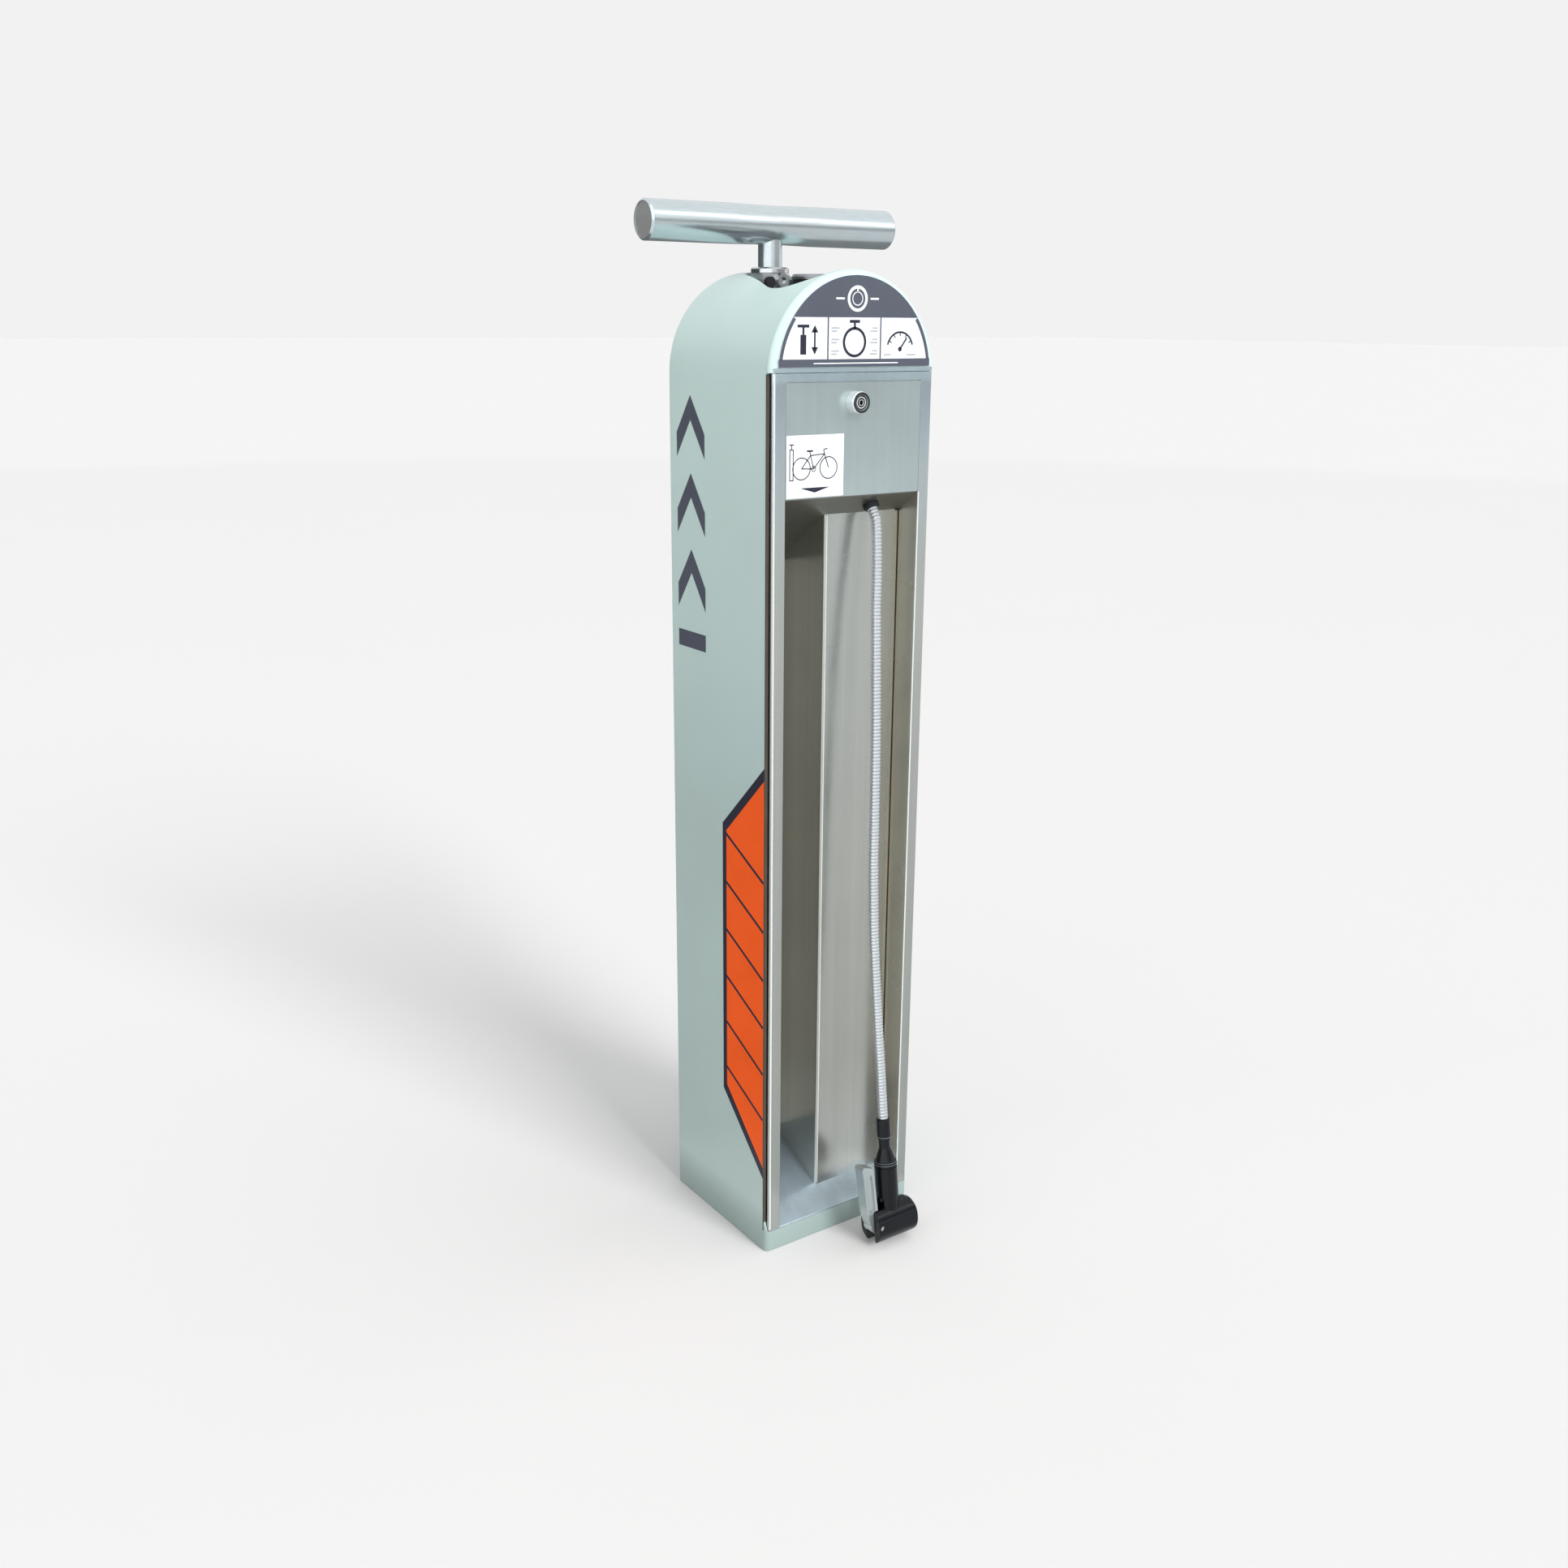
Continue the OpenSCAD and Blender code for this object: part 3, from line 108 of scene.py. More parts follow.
class Tree:
    """A short way to write a node tree."""

    def __init__(self, tree):
        self.tree = tree

    def add(self, kind, **settings):
        node = self.tree.nodes.new(kind)
        for key, value in settings.items():
            setattr(node, key, value)
        return node

    def link(self, a, b):
        self.tree.links.new(a, b)

    def up(self, coordinate):
        """The Z part of a texture coordinate."""
        place = self.add("ShaderNodeTexCoord")
        parts = self.add("ShaderNodeSeparateXYZ")
        self.link(place.outputs[coordinate], parts.inputs[0])
        return parts.outputs["Z"]

    def ramp(self, fac, stops):
        node = self.add("ShaderNodeValToRGB")
        elements = node.color_ramp.elements
        while len(elements) < len(stops):
            elements.new(0.5)
        for element, (at, colour) in zip(elements, stops):
            element.position = at
            element.color = colour if len(colour) == 4 else (*colour, 1)
        self.link(fac, node.inputs["Fac"])
        return node.outputs["Color"]

    def span(self, fac, low, high, at=(0.3, 0.7)):
        """Low to high, while the value runs from the first to the second of two numbers."""
        node = self.add("ShaderNodeMapRange")
        node.inputs["From Min"].default_value, node.inputs["From Max"].default_value = at
        node.inputs["To Min"].default_value, node.inputs["To Max"].default_value = low, high
        self.link(fac, node.inputs["Value"])
        return node.outputs["Result"]


class Look(Tree):
    """A material; its textures lie in object coordinates, which are metres before their scale."""

    def __init__(self, name):
        self.mat = bpy.data.materials.new(name)
        self.mat.use_nodes = True
        super().__init__(self.mat.node_tree)
        self.bsdf = self.tree.nodes["Principled BSDF"]

    def place(self, scale=(1, 1, 1), turn=(0, 0, 0)):
        coordinates = self.add("ShaderNodeTexCoord")
        mapping = self.add("ShaderNodeMapping")
        mapping.inputs["Scale"].default_value = scale
        mapping.inputs["Rotation"].default_value = turn
        self.link(coordinates.outputs["Object"], mapping.inputs["Vector"])
        return mapping.outputs["Vector"]

    def height(self, top):
        """How high a point lies, from 0 at the ground to 1 at a height in metres."""
        return self.span(self.up("Object"), 0.0, 1.0, (0.0, top))

    def noise(self, vector, scale, detail, rough=0.5):
        node = self.add("ShaderNodeTexNoise")
        node.inputs["Scale"].default_value = scale
        node.inputs["Detail"].default_value = detail
        node.inputs["Roughness"].default_value = rough
        node.inputs["Lacunarity"].default_value = LACUNARITY
        self.link(vector, node.inputs["Vector"])
        return node.outputs["Fac"]

    def times(self, a, b):
        node = self.add("ShaderNodeMix", data_type="RGBA", blend_type="MULTIPLY")
        node.inputs[0].default_value = 1.0
        self.link(a, node.inputs[6])
        self.link(b, node.inputs[7])
        return node.outputs[2]

    def darker(self, colour, fac, share, at):
        """The colour, less a share of it where the value is low."""
        return self.times(colour, self.ramp(fac, [(at[0], (1 - share,) * 3), (at[1], (1.0,) * 3)]))

    def bump(self, height, strength, distance, bevel=0.0):
        """Relief with a distance in metres, on edges that the bevel makes look round."""
        node = self.add("ShaderNodeBump")
        node.inputs["Strength"].default_value = strength
        node.inputs["Distance"].default_value = distance
        self.link(height, node.inputs["Height"])
        if bevel:
            edge = self.add("ShaderNodeBevel", samples=4)
            edge.inputs["Radius"].default_value = bevel
            self.link(edge.outputs["Normal"], node.inputs["Normal"])
        self.link(node.outputs["Normal"], self.bsdf.inputs["Normal"])

    def put(self, **values):
        for key, value in values.items():
            socket = self.bsdf.inputs[key.replace("_", " ")]
            if isinstance(value, bpy.types.NodeSocket):
                self.link(value, socket)
            else:
                socket.default_value = value


# Materials
def linear(v):
    return v / 12.92 if v <= 0.04045 else ((v + 0.055) / 1.055) ** 2.4


def rgb(r, g, b):
    """An sRGB colour, 0 to 255, as linear values."""
    return tuple(linear(c / 255) for c in (r, g, b)) + (1.0,)


def shades(colour, low, high):
    """The same colour, darker and lighter."""
    return tuple(c * low for c in colour[:3]) + (1,), tuple(min(1, c * high) for c in colour[:3]) + (1,)


# painted light: the share of the paint's colour kept at each height, darker at the foot and lighter towards
# the top, where more light falls
PAINT_SHADING_RISE = [(0.0, 0.5), (0.02, 0.53), (0.05, 0.76), (0.12, 0.76), (0.47, 0.74), (0.62, 0.86), (0.78, 0.9),
              (0.93, 0.96)]
PLAIN_RISE = [(0.0, 1.0), (1.0, 1.0)]
PAINT_TOP = 0.93


def painted(name, colour, rough=0.36, rise=PAINT_SHADING_RISE):
    """Powder coat: fine orange peel, broad clouds, and its colour scaled by height, painted light that makes
    it lighter towards the top.
    """
    look = Look(name)
    even = look.place()
    low, high = shades(colour, 0.97, 1.03)
    clouds = look.ramp(look.noise(even, 7, 3), [(0.3, low), (0.7, high)])
    # painted light by height: the colour darker at the foot and lighter towards the top
    height_shading = look.ramp(look.height(PAINT_TOP), [(at, (share,) * 3) for at, share in rise])
    look.put(Base_Color=look.times(clouds, height_shading))
    look.put(Roughness=look.span(look.noise(even, 30, 4), rough - 0.05, rough + 0.07))
    look.bump(look.noise(even, 900, 2), 0.05, 0.0004, bevel=0.0006)
    return look.mat


FINE_STREAKS = {"x": (3, 900, 900), "y": (900, 3, 900), "z": (900, 900, 3)}
WIDE_STREAKS = {"x": (1.2, 110, 110), "y": (110, 1.2, 110), "z": (110, 110, 1.2)}
DOOR_TOP = 0.85


def brushed(name, rise, rough, along, vary=0.07, streak=0.05, stain=0.05, metal=0.88):
    """Brushed sheet: its colour from the foot to the door's top, and long fine streaks along one axis."""
    look = Look(name)
    fine = look.noise(look.place(FINE_STREAKS[along], TILT), 1, 3, 0.6)
    wide = look.noise(look.place(WIDE_STREAKS[along], TILT), 1, 2)
    cloud = look.noise(look.place(), 9, 4, 0.55)
    # colour by height from the ramp given; the ramps of the frame, niche, recess floor and slot paint light
    # and shade
    colour = look.ramp(look.height(DOOR_TOP), rise)
    colour = look.darker(colour, fine, vary, (0.3, 0.7))
    colour = look.darker(colour, wide, streak, (0.35, 0.65))
    colour = look.darker(colour, cloud, stain, (0.35, 0.65))
    look.put(Base_Color=colour, Metallic=metal, Roughness=look.span(cloud, rough - 0.03, rough + 0.06))
    look.bump(fine, 0.1, 0.0001, bevel=0.0005)
    return look.mat


def plain_brushed(name, colour, rough, along, **more):
    return brushed(name, [(0.0, colour), (1.0, colour)], rough, along, **more)


def smooth_metal(name, colour, rough, scratch=0.05, metal=1.0):
    """Turned or plated metal, with scratches as fine as hair."""
    look = Look(name)
    fine = look.noise(look.place((60, 700, 700), TILT), 1, 3)
    cloud = look.noise(look.place(), 26, 3)
    low, high = shades(colour, 0.92, 1.0)
    look.put(Base_Color=look.ramp(fine, [(0.3, low), (0.7, high)]), Metallic=metal)
    look.put(Roughness=look.span(cloud, rough - 0.03, rough + 0.06))
    look.bump(fine, scratch, 0.0001, bevel=0.0003)
    return look.mat


def moulded(name, colour, rough, grain_scale=1400, grain=0.1, gloss=0.3):
    """Plastic or rubber with a fine grain."""
    look = Look(name)
    even = look.place()
    cloud = look.noise(even, 60, 3)
    low, high = shades(colour, 0.9, 1.1)
    look.put(Base_Color=look.ramp(cloud, [(0.3, low), (0.7, high)]), Specular_IOR_Level=gloss)
    look.put(Roughness=look.span(cloud, rough - 0.05, rough + 0.06))
    look.bump(look.noise(even, grain_scale, 2), grain, 0.0003, bevel=0.0006)
    return look.mat


def printed(name, colour, gloss=0.35):
    """Printed film, a little worn."""
    look = Look(name)
    even = look.place()
    cloud = look.noise(even, 22, 4)
    low, high = shades(colour, 0.95, 1.0)
    look.put(Base_Color=look.ramp(cloud, [(0.35, low), (0.65, high)]), Specular_IOR_Level=gloss)
    look.put(Roughness=look.span(cloud, 0.37, 0.5))
    look.bump(look.noise(even, 700, 2), 0.03, 0.0003)
    return look.mat


def glassy(name):
    look = Look(name)
    look.put(Base_Color=(0.95, 0.98, 1, 1), Roughness=0.02, IOR=1.45, Transmission_Weight=1.0)
    return look.mat


# painted light on the door frame's steel: darker towards the foot, lighter and bluer towards the door's top,
# lightest at its very top
FRAME_SHADING_RISE = [(0.0, rgb(182, 188, 185)), (0.3, rgb(188, 192, 187)), (0.6, rgb(197, 200, 196)),
              (0.8, rgb(201, 207, 203)), (0.95, rgb(203, 218, 227)), (0.984, rgb(203, 218, 227)),
              (0.99, rgb(222, 244, 252))]
# painted light on the niche's back: lightest at its foot, darker a little above it, and lighter again towards
# the top
NICHE_SHADING_RISE = [(0.0, rgb(214, 218, 214)), (0.2, rgb(191, 194, 187)), (0.5, rgb(199, 202, 196)),
              (0.85, rgb(206, 211, 207))]
# painted light on the recess floor: a bright blue painted reflection at its front, and painted shade where
# its slope runs up into the slot
FLOOR_SHADING_RISE = [(0.0, rgb(220, 240, 255)), (0.05, rgb(220, 240, 255)), (0.07, rgb(176, 192, 204)),
              (0.1, rgb(124, 134, 140))]
# the slot's walls, with a painted reflection of the floor that makes them lighter towards the foot
SLOT_SHADING_RISE = [(0.0, rgb(208, 206, 197)), (0.2, rgb(184, 181, 171)), (0.45, rgb(176, 172, 161)),
             (1.0, rgb(186, 182, 171))]
MATS = {
    "painted_green": painted("painted_green", rgb(193, 215, 211)),
    "sign_face": printed("sign_face", rgb(218, 223, 226)),
    "galvanised": plain_brushed("galvanised", rgb(170, 174, 176), 0.42, "x"),
    "stainless": brushed("stainless", FRAME_SHADING_RISE, 0.19, "z"),
    "box_panel": plain_brushed("box_panel", rgb(207, 222, 223), 0.3, "z", vary=0.04, streak=0.04, stain=0.08),
    "slot_steel": brushed("slot_steel", SLOT_SHADING_RISE, 0.47, "z", metal=0.65),
    "floor_steel": brushed("floor_steel", FLOOR_SHADING_RISE, 0.2, "y", streak=0.08, metal=0.8),
    "bright_steel": smooth_metal("bright_steel", rgb(218, 223, 226), 0.2),
    "dark_steel": painted("dark_steel", rgb(116, 121, 125), 0.5, PLAIN_RISE),
    "bezel_steel": smooth_metal("bezel_steel", rgb(150, 154, 158), 0.3),
    "handle_chrome": smooth_metal("handle_chrome", rgb(210, 221, 225), 0.2, 0.02, metal=0.88),
    "lock_chrome": smooth_metal("lock_chrome", rgb(236, 240, 242), 0.16, 0.03, metal=0.6),
    "lock_face": smooth_metal("lock_face", rgb(74, 80, 82), 0.22, metal=0.8),
    "plug_grey": plain_brushed("plug_grey", rgb(184, 186, 184), 0.45, "y", metal=0.6),
    "cast_alloy": plain_brushed("cast_alloy", rgb(205, 208, 211), 0.36, "z"),
    "brass": smooth_metal("brass", rgb(206, 176, 110), 0.28),
    "glass": glassy("glass"),
    "dial_white": printed("dial_white", rgb(226, 226, 220)),
    "needle_red": printed("needle_red", rgb(176, 26, 20)),
    "black_plastic": moulded("black_plastic", rgb(26, 29, 32), 0.45),
    # painted shade: a dark strip standing in for the shade in the gap before the side wall
    "gap_shade_dark": moulded("gap_shade_dark", rgb(72, 67, 60), 0.6, 800, 0.15),
    # painted highlights: a light grey for thin rings on the black head's grooves
    "head_highlight_grey": moulded("head_highlight_grey", rgb(92, 99, 102), 0.3),
    "rubber": moulded("rubber", rgb(34, 36, 40), 0.6, 800, 0.15),
    "hose_metal": smooth_metal("hose_metal", rgb(202, 208, 212), 0.27, 0.1, metal=0.72),
    "head_black": moulded("head_black", rgb(10, 14, 18), 0.18, 900, 0.04, gloss=0.32),
    "lever_metal": plain_brushed("lever_metal", rgb(190, 199, 200), 0.22, "z", metal=0.75),
    "niche_steel": brushed("niche_steel", NICHE_SHADING_RISE, 0.19, "z"),
    "niche_edge": plain_brushed("niche_edge", rgb(214, 211, 196), 0.35, "z"),
    "hem_steel": plain_brushed("hem_steel", rgb(212, 232, 238), 0.3, "x"),
    "wall_steel": plain_brushed("wall_steel", rgb(190, 186, 174), 0.24, "z"),
    # painted shade: the recess ceiling's steel darker than the rest, for the shade under the box
    "shaded_ceiling_steel": plain_brushed("shaded_ceiling_steel", rgb(144, 143, 137), 0.3, "x"),
    # painted highlights: a light, smooth steel for thin strips on folded edges
    "edge_highlight": smooth_metal("edge_highlight", rgb(238, 242, 238), 0.4, metal=0.5),
    "print_dark": printed("print_dark", rgb(78, 82, 94)),
    "print_rim": printed("print_rim", rgb(44, 44, 58), gloss=0.25),
    "print_orange": printed("print_orange", rgb(240, 88, 8), gloss=0.2),
    "print_white": printed("print_white", rgb(222, 227, 229)),
    "print_grey": printed("print_grey", rgb(166, 170, 178)),
}

# looks of single solids, and then the record's slot for each look that only the scene has
OWN_LOOK = {"centre_panel": "niche_steel", "right_wall": "wall_steel", "recess_ceiling": "shaded_ceiling_steel",
            "lock_plug": "lock_face"}

slot_of = {part["node"]: part["material_slot"] for part in frame["record"]["subparts"]}
for name, solid in nodes.items():
    for held in solid.material_slots:
        held.material = MATS[OWN_LOOK.get(name, slot_of[name])]


# Meshes, in millimetres
SPLIT_ANGLE = math.radians(32)


def new_piece(name, bm, body, mat, smooth=True):
    me = bpy.data.meshes.new(name)
    bmesh.ops.recalc_face_normals(bm, faces=bm.faces)
    for v in bm.verts:
        v.co *= MM
    bm.to_mesh(me)
    bm.free()
    me.materials.append(MATS[mat])
    ob = bpy.data.objects.new(name, me)
    scene.collection.objects.link(ob)
    if smooth:
        for p in me.polygons:
            p.use_smooth = True
        ob.modifiers.new("edges", "EDGE_SPLIT").split_angle = SPLIT_ANGLE
    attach(ob, body)
    return ob


def skin(bm, loops):
    """Faces from each closed loop of points to the next."""
    for a, b in zip(loops, loops[1:]):
        for k in range(len(a)):
            m = (k + 1) % len(a)
            bm.faces.new((a[k], a[m], b[m], b[k]))


def prism(bm, pts, to3, a, b):
    """A flat shape from 2-D points, between two depths; to3(u, v, depth) gives the place in space."""
    area = sum(p[0] * q[1] - q[0] * p[1] for p, q in zip(pts, pts[1:] + pts[:1]))
    if area < 0:
        pts = pts[::-1]
    low = [bm.verts.new(to3(u, v, a)) for u, v in pts]
    high = [bm.verts.new(to3(u, v, b)) for u, v in pts]
    bm.faces.new(low[::-1])
    bm.faces.new(high)
    skin(bm, [low, high])


def disc(c, r, n):
    return [around(r, 360 * i / n, c) for i in range(n)]


def arc_band(c, r0, r1, a0, a1, n=32):
    outer = [around(r1, a0 + (a1 - a0) * i / n, c) for i in range(n + 1)]
    inner = [around(r0, a1 + (a0 - a1) * i / n, c) for i in range(n + 1)]
    return outer + inner


def ring(c, r, w, n=32):
    """A ring of a width, in two halves, as each shape has one outline."""
    return [arc_band(c, r - w / 2, r + w / 2, a, a + 180, n) for a in (0, 180)]


def line(p, q, w):
    d = Vector((q[0] - p[0], q[1] - p[1]))
    n = Vector((-d.y, d.x)).normalized() * w / 2
    return [(p[0] + n.x, p[1] + n.y), (p[0] - n.x, p[1] - n.y), (q[0] - n.x, q[1] - n.y),
            (q[0] + n.x, q[1] + n.y)]


def lines(pairs, w):
    return [line(p, q, w) for p, q in pairs]


def rect(x0, x1, z0, z1):
    return [(x0, z0), (x1, z0), (x1, z1), (x0, z1)]


def on_front(y):
    return lambda u, v, d: (u, y - d, v)


def on_left(u, v, d):
    return (-HALF_W - d, u, v)


def on_dial(u, v, d):
    return (u, GAUGE_Y + v, DIAL_TOP + d)


def flat_print(name, shapes, to3, body, mat, lift=0.12, sink=0.05):
    """Flat shapes on a surface: how far they stand out of it, and how deep they sit in it."""
    bm = bmesh.new()
    for shape in shapes:
        prism(bm, shape, to3, -sink, lift)
    new_piece(name, bm, body, mat, smooth=False)


# Hose
HOSE_R = 5.0
GROOVE = 0.75
RIBS = 180
STEPS_PER_RIB = 8
HOSE_SIDES = 24
ROUTE_SAMPLES = 4000
GLAND_OUT = 5
STRAIGHT_END = 10
HOSE_X, HOSE_Y = 33, -66
HOSE_LEAVES = Vector((HOSE_X, HOSE_Y, BOX_FOOT - (HOSE_Y - FRONT) * math.tan(CEILING_SLOPE)))
HOSE_ROUTE = [(32, -78, 697), (30.5, -81, 668), (28.5, -83.5, 638), (27.5, -86, 606), (26.5, -88.5, 572),
              (26, -90.5, 536), (25.5, -92, 500), (25, -93, 464), (24.5, -94, 428), (24, -95, 392),
              (24, -96.5, 356), (24, -98.5, 320), (24.5, -101.5, 284), (25, -105, 248), (25.5, -108.5, 213),
              (26, -112.5, 178)]


def hose_points():
    """The route of the solid hose, from the gland in the ceiling to the boot on the head."""
    out = Vector((0, -math.sin(CEILING_SLOPE), -math.cos(CEILING_SLOPE)))
    start = HOSE_LEAVES + GLAND_OUT * out
    head = Vector((0, math.sin(HEAD_LEAN), -math.cos(HEAD_LEAN)))
    end = Vector(HEAD_AT)
    between = [Vector(p) for p in HOSE_ROUTE]
    return [start, start + STRAIGHT_END * out] + between + [end - STRAIGHT_END * head, end]


def curve_at(p, s):
    """A place on the smooth curve through the points; its first and last stretch are straight."""
    last = len(p) - 2
    i = min(int(s), last)
    t = s - i
    if i in (0, last):
        return p[i] + (p[i + 1] - p[i]) * t
    a, b, c, d = p[i - 1:i + 3]
    bend = (2 * a - 5 * b + 4 * c - d) * t * t
    return 0.5 * (2 * b + (c - a) * t + bend + (3 * b - a - 3 * c + d) * t ** 3)


def along_route(p, steps):
    """Evenly spaced points on the same curve as the solid hose, and its length."""
    fine = [curve_at(p, (len(p) - 1) * k / ROUTE_SAMPLES) for k in range(ROUTE_SAMPLES + 1)]
    run = [0.0]
    for u, v in zip(fine, fine[1:]):
        run.append(run[-1] + (v - u).length)
    pts, k = [], 0
    for i in range(steps + 1):
        want = run[-1] * i / steps
        while k < ROUTE_SAMPLES - 1 and run[k + 1] < want:
            k += 1
        share = (want - run[k]) / max(1e-9, run[k + 1] - run[k])
        pts.append(fine[k].lerp(fine[k + 1], min(1, share)))
    return pts, run[-1]


def tube(bm, pts, radii, sides):
    """A closed tube round the points, with a radius at each."""
    turn = [2 * math.pi * k / sides for k in range(sides)]
    rings = []
    for i, c in enumerate(pts):
        t = (pts[min(i + 1, len(pts) - 1)] - pts[max(i - 1, 0)]).normalized()
        u = (Vector((1, 0, 0)) - t * t.x).normalized()
        v = t.cross(u)
        rings.append([bm.verts.new(c + radii[i] * (math.cos(a) * u + math.sin(a) * v)) for a in turn])
    skin(bm, rings)
    bm.faces.new(rings[0][::-1])
    bm.faces.new(rings[-1])


def rib_radius(i):
    """The radius at a step: full between two grooves."""
    share = (i % STEPS_PER_RIB) / STEPS_PER_RIB
    return HOSE_R - GROOVE * (0.5 - 0.5 * math.cos(2 * math.pi * share)) ** 1.6


def make_hose():
    steps = RIBS * STEPS_PER_RIB
    pts, length = along_route(hose_points(), steps)
    bm = bmesh.new()
    tube(bm, pts, [rib_radius(i) for i in range(steps + 1)], HOSE_SIDES)
    ob = new_piece("hose_ribbed", bm, "door", "hose_metal")
    ob.modifiers.clear()
    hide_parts("hose")


# Sign on the front cap
def sign():
    to = on_front(SIGN_FACE)
    c, r = (0, ARCH_Z + 2.8), 82.5
    foot, rim = ARCH_Z + 9.5, 3.2
    low, high, top = foot + 6.5, foot + 41, c[1] + r - 0.01

    def x_at(z):
        return math.sqrt(max(0, r * r - (z - c[1]) ** 2))

    # dark top band, foot band, the rims of the fields and the two bars between them
    heights = [high + (top - high) * i / 60 for i in range(61)]
    dark = [[(x_at(z), z) for z in heights] + [(-x_at(z), z) for z in heights[::-1]]]
    dark += [rect(-x_at(foot), x_at(foot), foot, low)]
    a0, a1 = (math.degrees(math.asin((z - c[1]) / r)) for z in (low, high))
    for side in (-1, 1):
        dark.append([(side * u, v) for u, v in arc_band(c, r - rim, r, a0, a1, 24)])
    for x in (-31, 26):
        dark.append(rect(x - 0.7, x + 0.7, low, high))
    flat_print("sign_dark", dark, to, "station", "print_dark")

    # on the dark top band a plain tyre with its valve, between two strokes, and a line in the foot band
    tyre = ring((0, 908), 9.5, 2.6) + ring((0, 908), 5.4, 0.8)
    strokes = lines([((0, 913.2), (0, 916.4)), ((-23, 908), (-14, 908)), ((14, 908), (23, 908))], 1.6)
    foot_line = rect(-46, 46, foot + 2.6, foot + 3.5)
    flat_print("sign_light", tyre + strokes + [foot_line], to, "station", "print_white", 0.2)

    # three fields: pumping, the head on a valve, the gauge
    ink = [rect(-60, -54, 862, 878), rect(-58, -56, 878, 884), rect(-63, -51, 884, 886.4)]
    ink += [line((-45, 866), (-45, 882), 1.6)]
    ink += [[(-48.5, 880), (-41.5, 880), (-45, 886)], [(-48.5, 868), (-41.5, 868), (-45, 862)]]
    ink += ring((-2.5, 872), 11.5, 2.4) + [line((-2.5, 883), (-2.5, 888), 2.2), rect(-8, 3, 888, 890.5)]
    gauge = (48, 866)
    ink += [arc_band(gauge, 13.6, 15.2, 15, 165), line(gauge, (55.5, 875.5), 1.4), disc(gauge, 2.0, 20)]
    ink += lines([(around(11, a, gauge), around(13.6, a, gauge)) for a in range(30, 160, 30)], 0.9)
    flat_print("sign_ink", ink, to, "station", "print_rim", 0.16)

    # short grey bars beside the pictures
    bars = []
    for z in (861.5, 871.0, 880.5):
        bars += [rect(-27.5, -21.5, z, z + 1.3), rect(-27.5, -19, z + 2.6, z + 3.9)]
        bars += [rect(14.5, 22.5, z, z + 1.3), rect(17, 22.5, z + 2.6, z + 3.9)]
    bars += [rect(56, 66, 860.6, 861.9), rect(30, 38, 860.6, 861.9)]
    flat_print("sign_bars", bars, to, "station", "print_grey", 0.16)


# Sticker on the box panel: a bicycle beside a pump, and a mark that points down
def sticker():
    to = on_front(FRONT)
    flat_print("sticker", [rect(-72.4, -11.0, 741.6, 795.0)], to, "door", "print_white", 0.18)
    w = 0.9
    rear, front = (-56.5, 766.5), (-27.5, 766.5)
    crank, seat, head = (-43.5, 766.0), (-47.0, 777.5), (-32.0, 778.5)
    ink = ring(rear, 9.3, w) + ring(front, 9.3, w)
    ink += lines([(rear, crank), (rear, seat), (crank, seat), (seat, head), (crank, head), (head, front)], w)
    ink += [line(seat, (-47.8, 781), w), line((-51, 781.4), (-44.5, 781.4), 1.5)]
    ink += lines([(head, (-33, 782)), ((-33, 782), (-28.8, 783.2))], w) + ring(crank, 2.2, 0.7)
    ink += lines([((-69.0, 757), (-69.0, 783)), ((-65.4, 757), (-65.4, 783)), ((-69.4, 757), (-65, 757)),
                  ((-69.4, 783), (-65, 783)), ((-67.2, 783), (-67.2, 787))], w)
    ink += [line((-69.6, 787.2), (-64.8, 787.2), 1.0)]
    ink += [[(-58, 750.0), (-26, 750.0), (-42, 745.6)]]
    flat_print("sticker_ink", ink, to, "door", "print_rim", 0.26, -0.1)


# Prints on the left side
def side_prints():
    # three broad arrow heads, one above another, over a bar
    grey = []
    for z in (792, 722, 652):
        grey.append([(22, z - 24), (46, z + 10), (70, z - 24), (70, z - 2), (46, z + 32), (22, z - 2)])
    grey.append(rect(22, 70, 590, 606))
    flat_print("side_arrows", grey, on_left, "station", "print_dark")

    # a tall field with slanted ends and parallel bars
    near, far, rim = -76.0, -6.0, 6.5
    field = [(near, 80), (near, 500), (far, 430), (far, 150)]
    inner = [(near, 92), (near, 488), (far - rim, 424), (far - rim, 156)]
    flat_print("side_rim", [field], on_left, "station", "print_rim", 0.1)
    flat_print("side_field", [inner], on_left, "station", "print_orange", 0.16)
    middles = (160, 209, 258, 307, 356, 405)
    bars = lines([((near + 0.5, z - 16), (far - rim + 1, z + 16)) for z in middles], 3.0)
    flat_print("side_bars", bars, on_left, "station", "print_rim", 0.22)


# Small pieces that the solids leave out
DIGITS = {"0": "abcdef", "1": "bc", "2": "abged", "3": "abgcd", "4": "fgbc", "5": "afgcd", "6": "afgedc",
          "7": "abc", "8": "abcdefg", "9": "abcdfg"}
STROKES = {"a": ((0, 2), (1, 2)), "b": ((1, 2), (1, 1)), "c": ((1, 1), (1, 0)), "d": ((0, 0), (1, 0)),
           "e": ((0, 0), (0, 1)), "f": ((0, 1), (0, 2)), "g": ((0, 1), (1, 1))}


def number(text, at, size, width):
    """A plain number in straight strokes, centred on a point."""
    out = []
    step = size * 0.8
    x = at[0] - (len(text) * step - size * 0.3) / 2
    for digit in text:
        for stroke in DIGITS[digit]:
            p, q = [(x + u * size / 2, at[1] + (v - 1) * size / 2) for u, v in STROKES[stroke]]
            out.append(line(p, q, width))
        x += step
    return out


